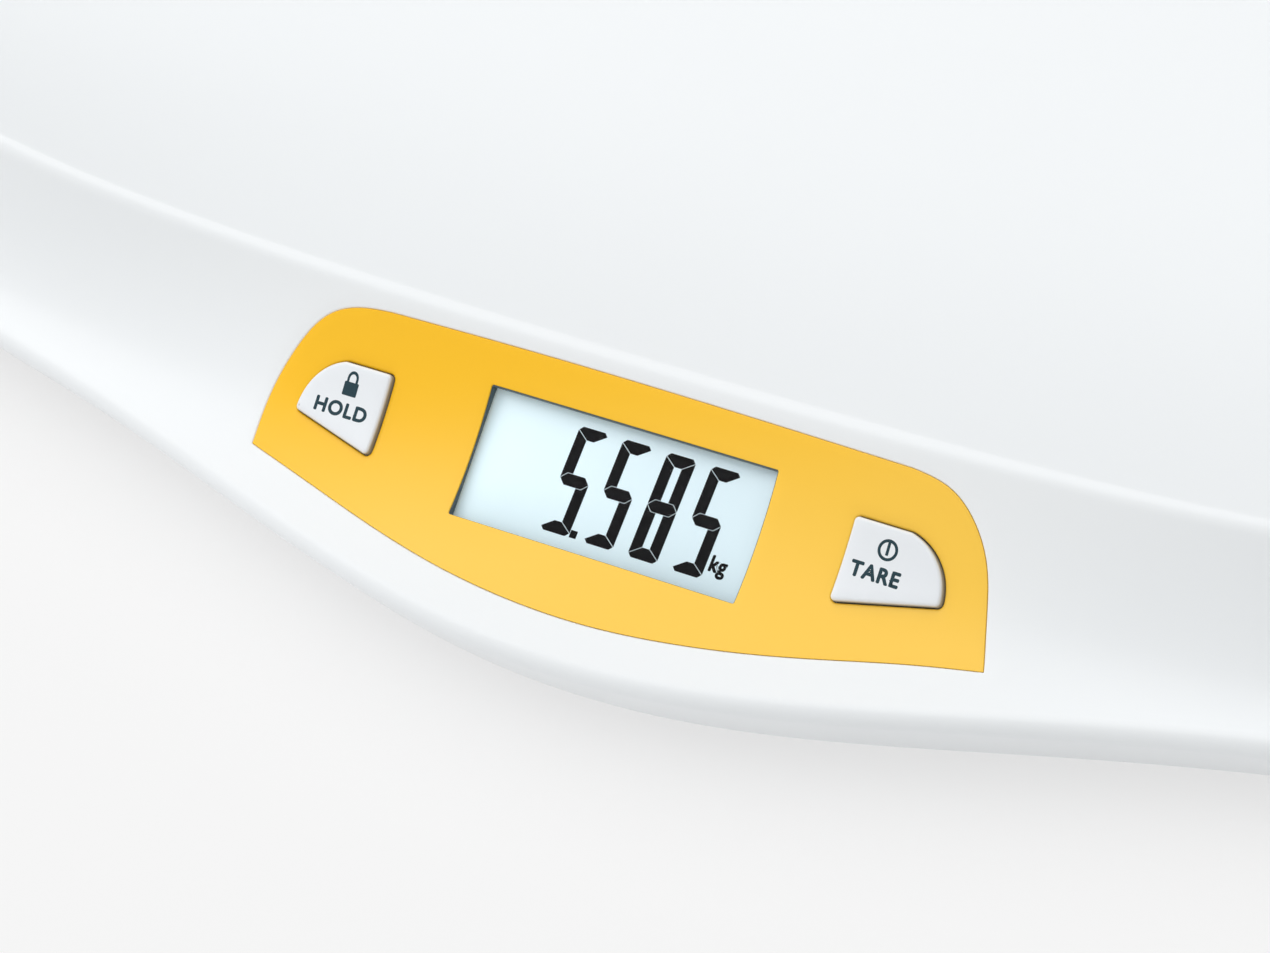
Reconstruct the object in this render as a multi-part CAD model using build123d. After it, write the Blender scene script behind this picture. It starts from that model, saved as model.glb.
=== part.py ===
from build123d import *
import os
from math import atan, cos, degrees, exp, radians, sin, sqrt, tan

# Digital baby weighing scale, millimetres, +Z up.
# Origin: on the floor under the middle of the scale. The console is on the -Y side.

# ---- overall ----
length = 541.0
depth = 321.0
underside_height = 9.0
wall = 2.6
fit_gap = 0.3
overcut = 1.0

# ---- tray rim: lip, band and ridge ----
lip_height = 24.6
lip_radius = 3.0
lip_inner_radius = 1.5
side_lean = 19.4
rim_width = 20.0
back_rim_width = 18.0
ridge_height = 46.8
ridge_end_height = 58.8
ridge_back_share = 0.5
ridge_radius = 3.5
corner_power = 4.2
band_top = 66.0
cavity_overrun = 4.0
column_depth = 12.0
column_height = 14.0

# ---- console bulge in the front rim ----
console_reach = 34.3
console_half_width = 109.0
console_power = 2.05
console_band = 54.0
window_setback = 32.3

# ---- basin ----
basin_floor = 33.0
basin_power = 3.0
basin_skin = 3.0
basin_margin = 20.0

# ---- resolution of the fitted surfaces ----
long_steps = 24
short_steps = 12
lip_steps = 5
band_steps = 8
basin_columns = 36
basin_rows = 24

# ---- console trim and window ----
trim_thickness = 0.8
trim_gap = 0.15
trim_reach_u = 82.0
trim_reach_v = 23.0
window_width = 64.0
window_depth = 26.2
window_rim = 1.0
lens_setback = 1.4
lens_thickness = 0.6
lens_overlap = 2.0
glass_inset = 1.0
glass_setback = 2.0
glass_thickness = 2.8
frame_wall = 2.8
frame_ledge = 1.7
zebra_width = 2.0
zebra_inset = 2.3

# ---- keys ----
key_rise = 1.2
key_gap = 0.3
key_flange = 1.5
key_flange_thickness = 1.2
key_travel = 0.5
key_corner = 1.0
key_top = 9.7
key_inner_bottom = -7.0
key_outer_bottom = -2.0
hold_inner = 54.8
hold_width = 19.6
tare_inner = 49.9
tare_width = 21.1
key_arc_start = 0.56
key_arc_middle = 0.9
key_arc_height = 0.5
plunger_diameter = 4.0
plunger_share = 0.42
plunger_v = 1.2

# ---- boards and switches ----
board_thickness = 1.6
board_depth = 11.4
board_width = 158.0
board_height = 32.0
board_screw_u = 44.5
board_screw_v = 12.6
board_boss = 6.0
switch_size = 6.0
switch_height = 3.5
stem_diameter = 3.4
stem_proud = 0.8
stem_sunk = 1.0
stem_gap = 0.15
blob_diameter = 14.0
blob_height = 1.6
blob_edge_share = 0.7
blob_u = -20.0
capacitor_diameter = 5.0
capacitor_height = 6.0
capacitor_u = 24.0
capacitor_v = 2.0
small_screw_shank = 2.0
small_screw_head = 4.0
small_screw_head_height = 1.4
small_screw_length = 6.0

# ---- base and housing screws ----
base_thickness = 2.5
base_gap = 0.4
upstand_inset = 0.6
upstand_thickness = 1.8
upstand_height = 5.0
housing_screw_shank = 2.9
housing_screw_head = 6.0
housing_screw_head_height = 2.2
housing_screw_length = 14.0
housing_boss = 8.0
base_boss = 10.0
base_boss_top = 16.0
counterbore = 6.8
counterbore_depth = 5.2
screw_tip_gap = 1.0
screw_edge_share = 0.4
screw_slot_share = 0.6
screw_slot = (0.7, 0.9)
housing_plan = ((238.0, -50.0), (238.0, 90.0), (120.0, 133.0), (100.0, -116.0), (62.0, 40.0))

# ---- ribs under the tray ----
tray_rib = 2.0
tray_rib_foot = 27.0
cross_rib_places = (-150.0, -62.0, 62.0, 150.0)
cross_rib_front = -50.0
cross_rib_back = 118.0
long_rib_y = 40.0
long_rib_reach = 215.0

# ---- feet and load cells ----
foot_x = 185.0
foot_front_y = -72.0
foot_back_y = 112.0
pad_diameter = 28.0
pad_thickness = 2.2
pad_sunk = 1.0
pad_edge = 0.6
foot_diameter = 34.0
foot_thickness = 5.0
foot_edge = 1.5
neck_diameter = 14.0
neck_opening = 20.0
foot_collar = 2.5
foot_collar_drop = 1.4
cell_size = 34.0
cell_thickness = 1.6
cell_frame = 5.0
cell_slot = 2.0
cell_tongue = 19.0
cell_pin = 4.0
cell_pin_gap = 0.2
cell_pin_proud = 1.6
holder_size = 42.0
holder_ledge_height = 1.5
holder_ledge = 4.0
pad_block = (8.0, 5.0, 2.6)

# ---- battery, its bay and its door ----
battery_body = 46.4
battery_width = 26.5
battery_height = 17.5
battery_edge = 2.0
terminal_height = 2.1
terminal_pitch = 12.7
small_terminal = 5.7
large_terminal = 8.0
terminal_gap = 0.1
bay_length = 57.0
bay_width = 30.6
battery_side_gap = 0.8
bay_wall = 1.6
bay_y = -63.0
bay_roof = 1.2
door_gap = 0.3
door_swing_gap = 0.9
door_thickness = 2.2
door_hinge_height = 10.4
hinge_barrel = 3.4
hinge_length = 20.0
hinge_arm = 4.0
hinge_ear = 4.0
hinge_pin_diameter = 1.5
hinge_pin_reach = 3.0
hinge_pin_gap = 0.1
hinge_setback = 1.6
latch_width = 12.0
latch_height = 3.0
latch_thickness = 1.2
grip_grooves = 3
grip_reach = 8.0
grip_setback = 4.0
grip_pitch = 2.4
grip_width = 1.2
grip_depth = 0.5
snap_thickness = 3.5
snap_width = 25.0
snap_height = 12.0
notch_width = 7.0

# ---- unit key under the base ----
unit_x = 78.0
unit_y = -62.5
unit_diameter = 8.0
unit_recess = 0.2
unit_edge = 0.5
unit_flange = 10.8
unit_board = (20.0, 14.0)
unit_post = 3.0

# ---- wires ----
wire_diameter = 1.4
wire_spacing = 2.4
cell_lead_diameter = 2.0

lip_x = length / 2 - lip_radius
ridge_x = lip_x - rim_width
front_lip_y = -depth / 2 + lip_radius
flank_lip_y = front_lip_y + console_reach
back_lip_y = depth / 2 - lip_radius
front_ridge_y = front_lip_y + console_band
back_ridge_y = back_lip_y - back_rim_width
ridge_middle_y = (front_ridge_y + back_ridge_y) / 2
ridge_reach_y = (back_ridge_y - front_ridge_y) / 2

# The console plane touches the band at the middle of the window.
window_share = window_setback / console_band
window_y = front_lip_y + window_setback
window_z = lip_height + (ridge_height - lip_height) * window_share**2
console_tilt = degrees(atan(2 * (ridge_height - lip_height) * window_share / console_band))
console = Location((0, window_y, window_z), (console_tilt, 0, 0))
console_normal = Vector(0, -sin(radians(console_tilt)), cos(radians(console_tilt)))

base_top = underside_height + base_thickness
cell_bottom = base_top + holder_ledge_height
cell_top = cell_bottom + cell_thickness
foot_bottom = pad_thickness - pad_sunk
foot_places = {
    "front_left": (-foot_x, foot_front_y),
    "front_right": (foot_x, foot_front_y),
    "back_left": (-foot_x, foot_back_y),
    "back_right": (foot_x, foot_back_y),
}
housing_places = [(side * x, y) for x, y in housing_plan for side in (-1, 1)]
board_places = [
    (side_u * board_screw_u, side_v * board_screw_v) for side_u in (-1, 1) for side_v in (-1, 1)
]


def save(name, *solids):
    """One STEP file for a node, which may hold several separate solids."""
    shape = solids[0] if len(solids) == 1 else Compound(children=list(solids))
    export_step(shape, f"parts/{name}.step")


def box(x, y, z):
    """A box between two values along each axis."""
    middle = [(low + high) / 2 for low, high in (x, y, z)]
    return Pos(*middle) * Box(x[1] - x[0], y[1] - y[0], z[1] - z[0])


def post(x, y, diameter, low, high):
    """An upright cylinder between two heights."""
    return Pos(x, y, (low + high) / 2) * Cylinder(diameter / 2, high - low)


def on_console(u, v, low, high, shape):
    """A unit-height shape stretched between two depths of the console plane."""
    return console * Pos(u, v, (low + high) / 2) * shape(high - low)


def console_block(width, height, low, high, u=0.0, v=0.0):
    """A block square to the console plane."""
    return on_console(u, v, low, high, lambda tall: Box(width, height, tall))


def console_post(u, v, diameter, low, high):
    """A cylinder square to the console plane."""
    return on_console(u, v, low, high, lambda tall: Cylinder(diameter / 2, tall))


def column(outline):
    """A column square to the console plane, through an outline drawn in it."""
    face = (console * Pos(0, 0, -column_depth) * outline).face()
    return Solid.extrude(face, console_normal * (column_depth + column_height))


def shifted(form, distance):
    """A form moved along the console's normal."""
    return form.moved(Location(console_normal * distance))


def superellipse(value):
    """The other coordinate of the unit superellipse."""
    return (1 - abs(value) ** corner_power) ** (1 / corner_power)


def ring_directions():
    """Unit superellipse points, evenly stepped along each of its four sides."""
    corner = 0.5 ** (1 / corner_power)
    long_side = [corner * (2 * i / long_steps - 1) for i in range(long_steps)]
    short_side = [corner * (2 * i / short_steps - 1) for i in range(short_steps)]
    front = [(c, -superellipse(c)) for c in long_side]
    right = [(superellipse(s), s) for s in short_side]
    back = [(-c, superellipse(c)) for c in long_side]
    left = [(-superellipse(s), -s) for s in short_side]
    return front + right + back + left


def lip_point(c, s):
    """The crest of the lip: a superellipse whose front bulges out at the console."""
    x = lip_x * c
    front = flank_lip_y - console_reach * exp(-abs(x / console_half_width) ** console_power)
    return x, (front + back_lip_y) / 2 + (back_lip_y - front) / 2 * s


def ridge_point(c, s):
    """The ridge between the band and the basin."""
    return ridge_x * c, ridge_middle_y + ridge_reach_y * s


def ridge_z(x, y):
    """The ridge climbs towards the ends, and half as much more towards the back."""
    along = (x / ridge_x) ** 2
    across = min(max((y - front_ridge_y) / (back_ridge_y - front_ridge_y), 0), 1)
    share = 1 - (1 - along) * (1 - ridge_back_share * across)
    return ridge_height + (ridge_end_height - ridge_height) * share


lip_ring = [lip_point(c, s) for c, s in ring_directions()]
ridge_ring = [ridge_point(c, s) for c, s in ring_directions()]


def outward_normals(ring):
    """Plan normals of a closed ring of points, from the points on either side."""
    normals = []
    for i in range(len(ring)):
        (x0, y0), (x1, y1) = ring[i - 1], ring[(i + 1) % len(ring)]
        run = sqrt((x1 - x0) ** 2 + (y1 - y0) ** 2)
        normals.append(((y1 - y0) / run, (x0 - x1) / run))
    return normals


def ring_parameters(ring):
    """Distance along the ring, from 0 to 1, which every section shares."""
    total = [0.0]
    for i in range(len(ring)):
        (x0, y0), (x1, y1) = ring[i], ring[(i + 1) % len(ring)]
        total.append(total[-1] + sqrt((x1 - x0) ** 2 + (y1 - y0) ** 2))
    return [t / total[-1] for t in total]


lip_normals = outward_normals(lip_ring)
shared_parameters = ring_parameters(lip_ring)


def section(offsets, z):
    """A closed smooth section in two halves: the lip ring moved by one plan offset per point."""
    points = [(x + dx, y + dy, z) for (x, y), (dx, dy) in zip(lip_ring, offsets)]
    ring = Edge.make_spline(points, periodic=True, parameters=shared_parameters)
    return Wire([ring.trim(0, 0.5), ring.trim(0.5, 1)])


def side_offset(skin, z):
    """Plan offset of the leaning side wall at a height, for an outer or inner skin."""
    lean = radians(side_lean)
    return (lip_radius - skin + (z - lip_height + lip_radius) * sin(lean)) / cos(lean)


def lip_roll(skin):
    """The radius of the lip's roll for a skin, and the plan offset of the roll's centre."""
    radius = max(lip_radius - skin, lip_inner_radius)
    lean = radians(side_lean)
    return radius, (lip_radius - skin - radius) * (1 + sin(lean)) / cos(lean)


def lip_section(skin, z):
    """A section parallel to the lip at the side wall."""
    offset = side_offset(skin, z)
    return section([(a * offset, b * offset) for a, b in lip_normals], z)


def rim_form(skin, foot):
    """Solid under the side wall, the rolled lip and the band, set in by a skin, from a foot up.

    The side leans in towards the floor, the lip rolls over in an arc, and the band rises
    as the square of the way from the lip to the ridge and carries on past the ridge.
    Each of the three is a loft of its own, and they meet at shared sections.
    """
    radius, centre = lip_roll(skin)
    crest = lip_height - skin
    roll = 90 + side_lean
    rolled = []
    for step in range(lip_steps + 1):
        turn = radians(roll * (1 - step / lip_steps))
        reach = centre + radius * sin(turn)
        z = crest - radius + radius * cos(turn)
        rolled.append(section([(a * reach, b * reach) for a, b in lip_normals], z))
    rising = [rolled[-1]]
    for step in range(1, band_steps + 1):
        z = crest + (band_top - crest) * (step / band_steps) ** 2
        offsets = []
        for (lip_px, lip_py), (ridge_px, ridge_py) in zip(lip_ring, ridge_ring):
            dx, dy = ridge_px - lip_px, ridge_py - lip_py
            way = sqrt((z - crest) / (ridge_z(ridge_px, ridge_py) - lip_height))
            way *= 1 + skin / sqrt(dx * dx + dy * dy)
            offsets.append((dx * way, dy * way))
        rising.append(section(offsets, z))
    side = Solid.make_loft([lip_section(skin, foot), rolled[0]], ruled=True)
    lofts = [side, Solid.make_loft(rolled), Solid.make_loft(rising)]
    curved = [face for loft in lofts for face in loft.faces() if face.geom_type != GeomType.PLANE]
    bottom, top = side.faces().sort_by(Axis.Z)[0], lofts[-1].faces().sort_by(Axis.Z)[-1]
    return Solid(Shell([*curved, bottom, top]))


def basin_height(x, y):
    """The basin: from its floor up to the ridge as a power of the superellipse radius."""
    radius = abs(x / ridge_x) ** corner_power
    radius += abs((y - ridge_middle_y) / ridge_reach_y) ** corner_power
    share = radius ** (basin_power / corner_power)
    return basin_floor + (ridge_z(x, y) - basin_floor) * share


def basin_cutter():
    """Everything above the basin's surface."""
    reach_x = length / 2 + basin_margin
    reach_y = depth / 2 + basin_margin
    xs = [reach_x * (2 * i / basin_columns - 1) for i in range(basin_columns + 1)]
    ys = [reach_y * (2 * j / basin_rows - 1) for j in range(basin_rows + 1)]
    grid = [[Vector(x, y, basin_height(x, y)) for x in xs] for y in ys]
    skin = Face.make_surface_from_array_of_points(grid, tol=0.01)
    return Solid.extrude(skin, Vector(0, 0, 3 * band_top))


def trim_outline(growth=0.0):
    """The trim's edge: a bowed lower edge, upright sides and rounded upper corners."""
    left = [(-81.5, -11.2), (-82.1, -4.4), (-81.4, 2.1), (-79.1, 8.8), (-72.1, 17.9)]
    left += [(-67.7, 19.9), (-58.4, 21.2)]
    right = [(58.4, 20.9), (67.2, 19.1), (73.8, 13.5), (76.7, 8.7), (80.0, -1.7), (83.0, -10.9)]
    lower = [(83.0, -10.9), (69.8, -13.6), (54.9, -17.3), (39.7, -20.9), (23.8, -23.7), (7.0, -25.4)]
    lower += [(-11.1, -25.3), (-30.9, -23.1), (-52.7, -18.5), (-64.1, -15.6), (-81.5, -11.2)]
    top = [left[-1], (-30.2, 21.6), (6.2, 21.6), right[0]]
    sides = []
    for points in (left, top, right, lower):
        grown = [(u * (1 + growth / trim_reach_u), v * (1 + growth / trim_reach_v)) for u, v in points]
        sides.append(Spline(*grown))
    return make_face(sides)


def key_outline(side, inner, width):
    """A key's face: straight on its inner, upper and lower sides, rounded outside."""
    corner_inner = (side * inner, key_inner_bottom)
    top_inner = (side * inner, key_top)
    arc_start = (side * (inner + key_arc_start * width), key_top)
    arc_middle = (side * (inner + key_arc_middle * width), key_arc_height * key_top)
    arc_end = (side * (inner + width), key_outer_bottom)
    outline = make_face(
        [
            Line(corner_inner, top_inner),
            Line(top_inner, arc_start),
            ThreePointArc(arc_start, arc_middle, arc_end),
            Line(arc_end, corner_inner),
        ]
    )
    return fillet(outline.vertices(), key_corner)


keys = {
    "hold": (key_outline(-1, hold_inner, hold_width), -(hold_inner + plunger_share * hold_width)),
    "tare": (key_outline(1, tare_inner, tare_width), tare_inner + plunger_share * tare_width),
}


def switch_body(place, diameter, stem_low):
    """A tactile switch with a bored top, standing on a board in the given frame."""
    body = Pos(0, 0, switch_height / 2) * Box(switch_size, switch_size, switch_height)
    return place * (body - post(0, 0, diameter, stem_low, switch_height))


def screw(place, shank, head, head_height, reach):
    """A pan-head screw: the head below the frame's plane, the shank above it."""
    head_solid = Pos(0, 0, -head_height / 2) * Cylinder(head / 2, head_height)
    head_solid = fillet(head_solid.edges().sort_by(Axis.Z)[0], head_height * screw_edge_share)
    width, height = screw_slot
    run = head * screw_slot_share
    slot = Pos(0, 0, -head_height) * (Box(run, width, height) + Box(width, run, height))
    return place * (head_solid + Pos(0, 0, reach / 2) * Cylinder(shank / 2, reach) - slot)


def bend_radii(points):
    """The radius of each bend: 0.45 of its shorter run over the tangent of half its turn."""
    radii = []
    for before, here, after in zip(points, points[1:], points[2:]):
        run_in, run_out = Vector(here) - Vector(before), Vector(after) - Vector(here)
        half_turn = radians(run_in.get_angle(run_out) / 2)
        radii.append(0.45 * min(run_in.length, run_out.length) / tan(half_turn))
    return radii


def lead(name, points, diameter):
    """A round lead along straight runs joined by tangent arcs."""
    radii = bend_radii(points)
    path = FilletPolyline(*points, radius=radii)
    start = Plane(origin=path @ 0, z_dir=path % 0)
    tube = sweep(start * Circle(diameter / 2), path=path)
    print(name, "length", round(path.length, 1), "radii", [round(radius, 1) for radius in radii])
    return tube


def board_point(u, v, depth_below):
    """A point under the console plane, in the scale's frame."""
    return (console * Pos(u, v, -depth_below)).position


os.makedirs("parts", exist_ok=True)

# ---- forms shared by the tray and everything in the console ----
outer_form = rim_form(0, underside_height)
basin = basin_cutter()
inner_form = rim_form(wall, underside_height - cavity_overrun)
cavity = inner_form - Pos(0, 0, -basin_skin) * basin

trim_shape = trim_outline()
window_hole = console_block(window_width, window_depth, -column_depth, column_height)
key_shapes = {name: shape for name, (shape, u) in keys.items()}

# ---- upper shell ----
pocket = column(trim_outline(trim_gap)) - shifted(outer_form, -trim_thickness)
lens_width = window_width + 2 * lens_overlap
lens_height = window_depth + 2 * lens_overlap
lens_bottom = lens_setback + lens_thickness
upper_shell = outer_form - basin
ridge_edges = upper_shell.edges().sort_by(Axis.Z)[-2:]
upper_shell = upper_shell.fillet(ridge_radius, ridge_edges) - cavity - pocket
upper_shell -= console_block(
    lens_width + 2 * fit_gap, lens_height + 2 * fit_gap, -column_depth, column_height
)
for shape in key_shapes.values():
    upper_shell -= column(offset(shape, key_gap))
additions = [console_post(u, v, board_boss, -board_depth, column_height) for u, v in board_places]
additions += [post(x, y, housing_boss, base_boss_top, band_top) for x, y in housing_places]
rib_height = (tray_rib_foot, band_top)
for x in cross_rib_places:
    thickness = (x - tray_rib / 2, x + tray_rib / 2)
    additions.append(box(thickness, (cross_rib_front, cross_rib_back), rib_height))
thickness = (long_rib_y - tray_rib / 2, long_rib_y + tray_rib / 2)
additions.append(box((-long_rib_reach, long_rib_reach), thickness, rib_height))
upper_shell += [addition & cavity for addition in additions]
for u, v in board_places:
    bore_end = -board_depth + small_screw_length
    upper_shell -= console_post(u, v, small_screw_shank, -board_depth - overcut, bore_end)
for x, y in housing_places:
    bore_end = base_boss_top + housing_screw_length
    upper_shell -= post(x, y, housing_screw_shank, base_boss_top - overcut, bore_end)
save("upper_shell", upper_shell)

# ---- console trim ----
rim_width_u = window_width + 2 * window_rim
rim_width_v = window_depth + 2 * window_rim
trim = (column(trim_shape) & outer_form) - shifted(outer_form, -trim_thickness)
trim += console_block(rim_width_u, rim_width_v, -lens_setback, column_height) & outer_form
trim -= window_hole
for shape in key_shapes.values():
    trim -= column(offset(shape, key_gap))
save("display_trim", trim)

# ---- display stack ----
save("display_lens", console_block(lens_width, lens_height, -lens_bottom, -lens_setback))
glass_width = lens_width - 2 * glass_inset
glass_height = lens_height - 2 * glass_inset
glass_bottom = glass_setback + glass_thickness
save("display_glass", console_block(glass_width, glass_height, -glass_bottom, -glass_setback))
frame = console_block(
    glass_width + 2 * fit_gap + 2 * frame_wall,
    glass_height + 2 * fit_gap + 2 * frame_wall,
    -board_depth,
    -lens_bottom,
)
frame -= console_block(glass_width + 2 * fit_gap, glass_height + 2 * fit_gap, -glass_bottom, 0)
frame -= console_block(
    glass_width - 2 * frame_ledge, glass_height - 2 * frame_ledge, -2 * board_depth, 0
)
save("display_frame", frame & shifted(inner_form, -fit_gap))
zebra_v = glass_height / 2 - frame_ledge - zebra_inset
zebras = [
    console_block(glass_width - 4 * frame_ledge, zebra_width, -board_depth, -glass_bottom, v=side * zebra_v)
    for side in (-1, 1)
]
save("zebra_strips", *zebras)

# ---- main board and what it carries ----
board_bottom = board_depth + board_thickness
board = console_block(board_width, board_height, -board_bottom, -board_depth)
for u, v in board_places:
    clearance = small_screw_shank + 2 * fit_gap
    board -= console_post(u, v, clearance, -board_bottom - overcut, -board_depth + overcut)
save("main_board", board)
blob = console_post(blob_u, 0, blob_diameter, -board_bottom - blob_height, -board_bottom)
blob = fillet(blob.edges().sort_by(Axis.Z)[0], blob_height * blob_edge_share)
save("controller_blob", blob)
capacitor_foot = -board_bottom - capacitor_height
capacitor = console_post(capacitor_u, capacitor_v, capacitor_diameter, capacitor_foot, -board_bottom)
save("board_capacitor", capacitor)
board_screws = []
for u, v in board_places:
    place = console * Pos(u, v, -board_bottom)
    reach = board_thickness + small_screw_length - screw_tip_gap
    board_screws.append(
        screw(place, small_screw_shank, small_screw_head, small_screw_head_height, reach)
    )
save("board_screws", *board_screws)

# ---- keys, their switches and stems ----
stem_bore = stem_diameter + 2 * stem_gap
stem_foot = switch_height - stem_sunk
stem_bore_foot = stem_foot - key_travel - stem_gap
plunger_foot = switch_height + stem_proud
for name, (shape, u) in keys.items():
    under_flange = shifted(inner_form, -fit_gap - key_flange_thickness)
    cap = (column(shape) & shifted(outer_form, key_rise)) - under_flange
    flange = column(offset(shape, key_flange)) & shifted(inner_form, -fit_gap)
    flange -= under_flange
    plunger = console_post(u, plunger_v, plunger_diameter, -board_depth + plunger_foot, 0)
    save(f"{name}_button", cap + flange + (plunger & under_flange))
    place = console * Pos(u, plunger_v, -board_depth)
    save(f"{name}_switch", switch_body(place, stem_bore, stem_bore_foot))
    save(f"{name}_switch_stem", place * post(0, 0, stem_diameter, stem_foot, plunger_foot))

# ---- lower shell ----
plate_offset = side_offset(wall, underside_height) - base_gap


def base_ring(inset):
    """The base's plan outline, moved in from the inner wall of the upper shell."""
    reach = plate_offset - inset
    return section([(a * reach, b * reach) for a, b in lip_normals], underside_height)


def base_layer(inset, low, high):
    """A flat layer with the base's outline."""
    face = Face(base_ring(inset)).moved(Location((0, 0, low - underside_height)))
    return Solid.extrude(face, Vector(0, 0, high - low))


bay_x = bay_length / 2
bay_front = bay_y - bay_width / 2
bay_back = bay_y + bay_width / 2
battery_bottom = underside_height + door_gap + door_thickness + fit_gap
battery_y = bay_back - battery_side_gap - battery_width / 2
bay_top = battery_bottom + battery_height + fit_gap
hinge_y = bay_back + hinge_setback

lower_shell = base_layer(0, underside_height, base_top)
upstand = base_layer(upstand_inset, base_top, base_top + upstand_height)
upstand -= base_layer(upstand_inset + upstand_thickness, base_top, base_top + upstand_height)
lower_shell += upstand
screw_seat = underside_height + counterbore_depth
for x, y in housing_places:
    lower_shell += post(x, y, base_boss, base_top, base_boss_top)
    lower_shell -= post(x, y, counterbore, underside_height - overcut, screw_seat)
    clearance = housing_screw_shank + 2 * fit_gap
    lower_shell -= post(x, y, clearance, underside_height, base_boss_top + overcut)
for x, y in foot_places.values():
    collar = neck_opening + 2 * foot_collar
    lower_shell += post(x, y, collar, underside_height - foot_collar_drop, base_top)
    lower_shell -= post(x, y, neck_opening, 0, base_top + overcut)
bay_outer = (-bay_x - bay_wall, bay_x + bay_wall), (bay_front - bay_wall, bay_back + bay_wall)
lower_shell += box(*bay_outer, (underside_height, bay_top + bay_roof))
lower_shell -= box((-bay_x, bay_x), (bay_front, bay_back), (0, bay_top))
notch_low = battery_bottom + battery_height / 2 - notch_width / 2
lower_shell -= box(
    (bay_x - overcut, bay_x + bay_wall + overcut),
    (battery_y - notch_width / 2, battery_y + notch_width / 2),
    (notch_low, notch_low + notch_width),
)
hinge_half = hinge_length / 2 + fit_gap
hinge_pocket = hinge_barrel / 2 + fit_gap
pocket_top = door_hinge_height + hinge_pocket
barrel_room = box(
    (-hinge_half, hinge_half), (bay_back - overcut, hinge_y + hinge_pocket), (0, pocket_top)
)
ears = box(
    (-hinge_half - hinge_ear, hinge_half + hinge_ear),
    (bay_back, hinge_y + hinge_pocket + bay_wall),
    (underside_height, pocket_top + bay_wall),
)
pin_length = hinge_length + 2 * hinge_pin_reach
pin_hole = Pos(0, hinge_y, door_hinge_height) * Rot(0, 90, 0) * Cylinder(hinge_pin_diameter / 2, pin_length)
lower_shell = lower_shell + ears - barrel_room - pin_hole
unit_top = base_top + fit_gap
lower_shell -= post(unit_x, unit_y, unit_diameter + 2 * fit_gap, 0, base_top + overcut)
unit_flange_top = unit_top + key_flange_thickness
unit_stem_top = unit_flange_top + plunger_foot
unit_post_x = unit_board[0] / 2 - unit_post / 2
for side in (-1, 1):
    lower_shell += post(unit_x + side * unit_post_x, unit_y, unit_post, base_top, unit_stem_top)
save("lower_shell", lower_shell)

# ---- housing screws ----
housing_screws = []
for x, y in housing_places:
    seat = Pos(x, y, screw_seat)
    reach = base_boss_top - screw_seat + housing_screw_length - screw_tip_gap
    housing_screws.append(
        screw(seat, housing_screw_shank, housing_screw_head, housing_screw_head_height, reach)
    )
save("housing_screws", *housing_screws)

# ---- feet, load cells and their holders ----
for name, (x, y) in foot_places.items():
    place = Pos(x, y, 0)
    pad = place * post(0, 0, pad_diameter, 0, pad_thickness)
    pad = fillet(pad.edges().sort_by(Axis.Z)[0], pad_edge)
    save(f"rubber_foot_{name}", pad)

    disc_top = foot_bottom + foot_thickness
    disc = post(0, 0, foot_diameter, foot_bottom, disc_top)
    disc = fillet(disc.edges().sort_by(Axis.Z)[-1], foot_edge)
    disc += post(0, 0, neck_diameter, disc_top, cell_bottom)
    pin_top = cell_top + cell_pin_proud
    disc += post(0, 0, cell_pin, cell_bottom, pin_top)
    disc -= post(0, 0, pad_diameter, 0, pad_thickness)
    save(f"foot_{name}", place * disc)

    plate = Pos(0, 0, (cell_bottom + cell_top) / 2) * Box(cell_size, cell_size, cell_thickness)
    slot_outer = cell_tongue + 2 * cell_slot
    tongue_end = cell_size / 2 - cell_frame
    cut_height = (cell_bottom - overcut, cell_top + overcut)
    slot = box((-tongue_end, tongue_end), (-slot_outer / 2, slot_outer / 2), cut_height)
    tongue_run = (-tongue_end - overcut, tongue_end - cell_slot)
    tongue = box(tongue_run, (-cell_tongue / 2, cell_tongue / 2), cut_height)
    plate = plate - (slot - tongue) - post(0, 0, cell_pin + 2 * cell_pin_gap, 0, band_top)
    save(f"load_cell_{name}", place * plate)

    holder = Pos(0, 0, (base_top + cell_top) / 2) * Box(holder_size, holder_size, cell_top - base_top)
    seat = (-cell_size / 2 - fit_gap, cell_size / 2 + fit_gap)
    holder -= box(seat, seat, (cell_bottom, cell_top + overcut))
    opening = (-cell_size / 2 + holder_ledge, cell_size / 2 - holder_ledge)
    holder -= box(opening, opening, (base_top - overcut, cell_top + overcut))
    save(f"load_cell_holder_{name}", place * holder)

gauge_x = cell_size / 2 - pad_block[0] / 2 - fit_gap
gauge_blocks = []
for x, y in foot_places.values():
    inward = -1 if x > 0 else 1
    centre = Pos(x + inward * gauge_x, y, cell_top + pad_block[2] / 2)
    gauge_blocks.append(centre * Box(*pad_block))
save("gauge_pads", *gauge_blocks)

# ---- battery and its connector ----
battery_x = -bay_x + fit_gap
battery_z = battery_bottom + battery_height / 2
terminal_x = battery_x + battery_body
battery = box(
    (battery_x, terminal_x),
    (battery_y - battery_width / 2, battery_y + battery_width / 2),
    (battery_bottom, battery_bottom + battery_height),
)
battery = fillet(battery.edges().filter_by(Axis.X), battery_edge)
terminals = [(-1, small_terminal), (1, large_terminal)]
snap = box(
    (terminal_x + fit_gap, terminal_x + fit_gap + snap_thickness),
    (battery_y - snap_width / 2, battery_y + snap_width / 2),
    (battery_z - snap_height / 2, battery_z + snap_height / 2),
)
for side, diameter in terminals:
    turned = Pos(terminal_x, battery_y + side * terminal_pitch / 2, battery_z) * Rot(0, 90, 0)
    battery += turned * Pos(0, 0, terminal_height / 2) * Cylinder(diameter / 2, terminal_height)
    snap -= turned * Cylinder(diameter / 2 + terminal_gap, 2 * terminal_height)
save("battery", battery)
save("battery_snap", snap)

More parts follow.
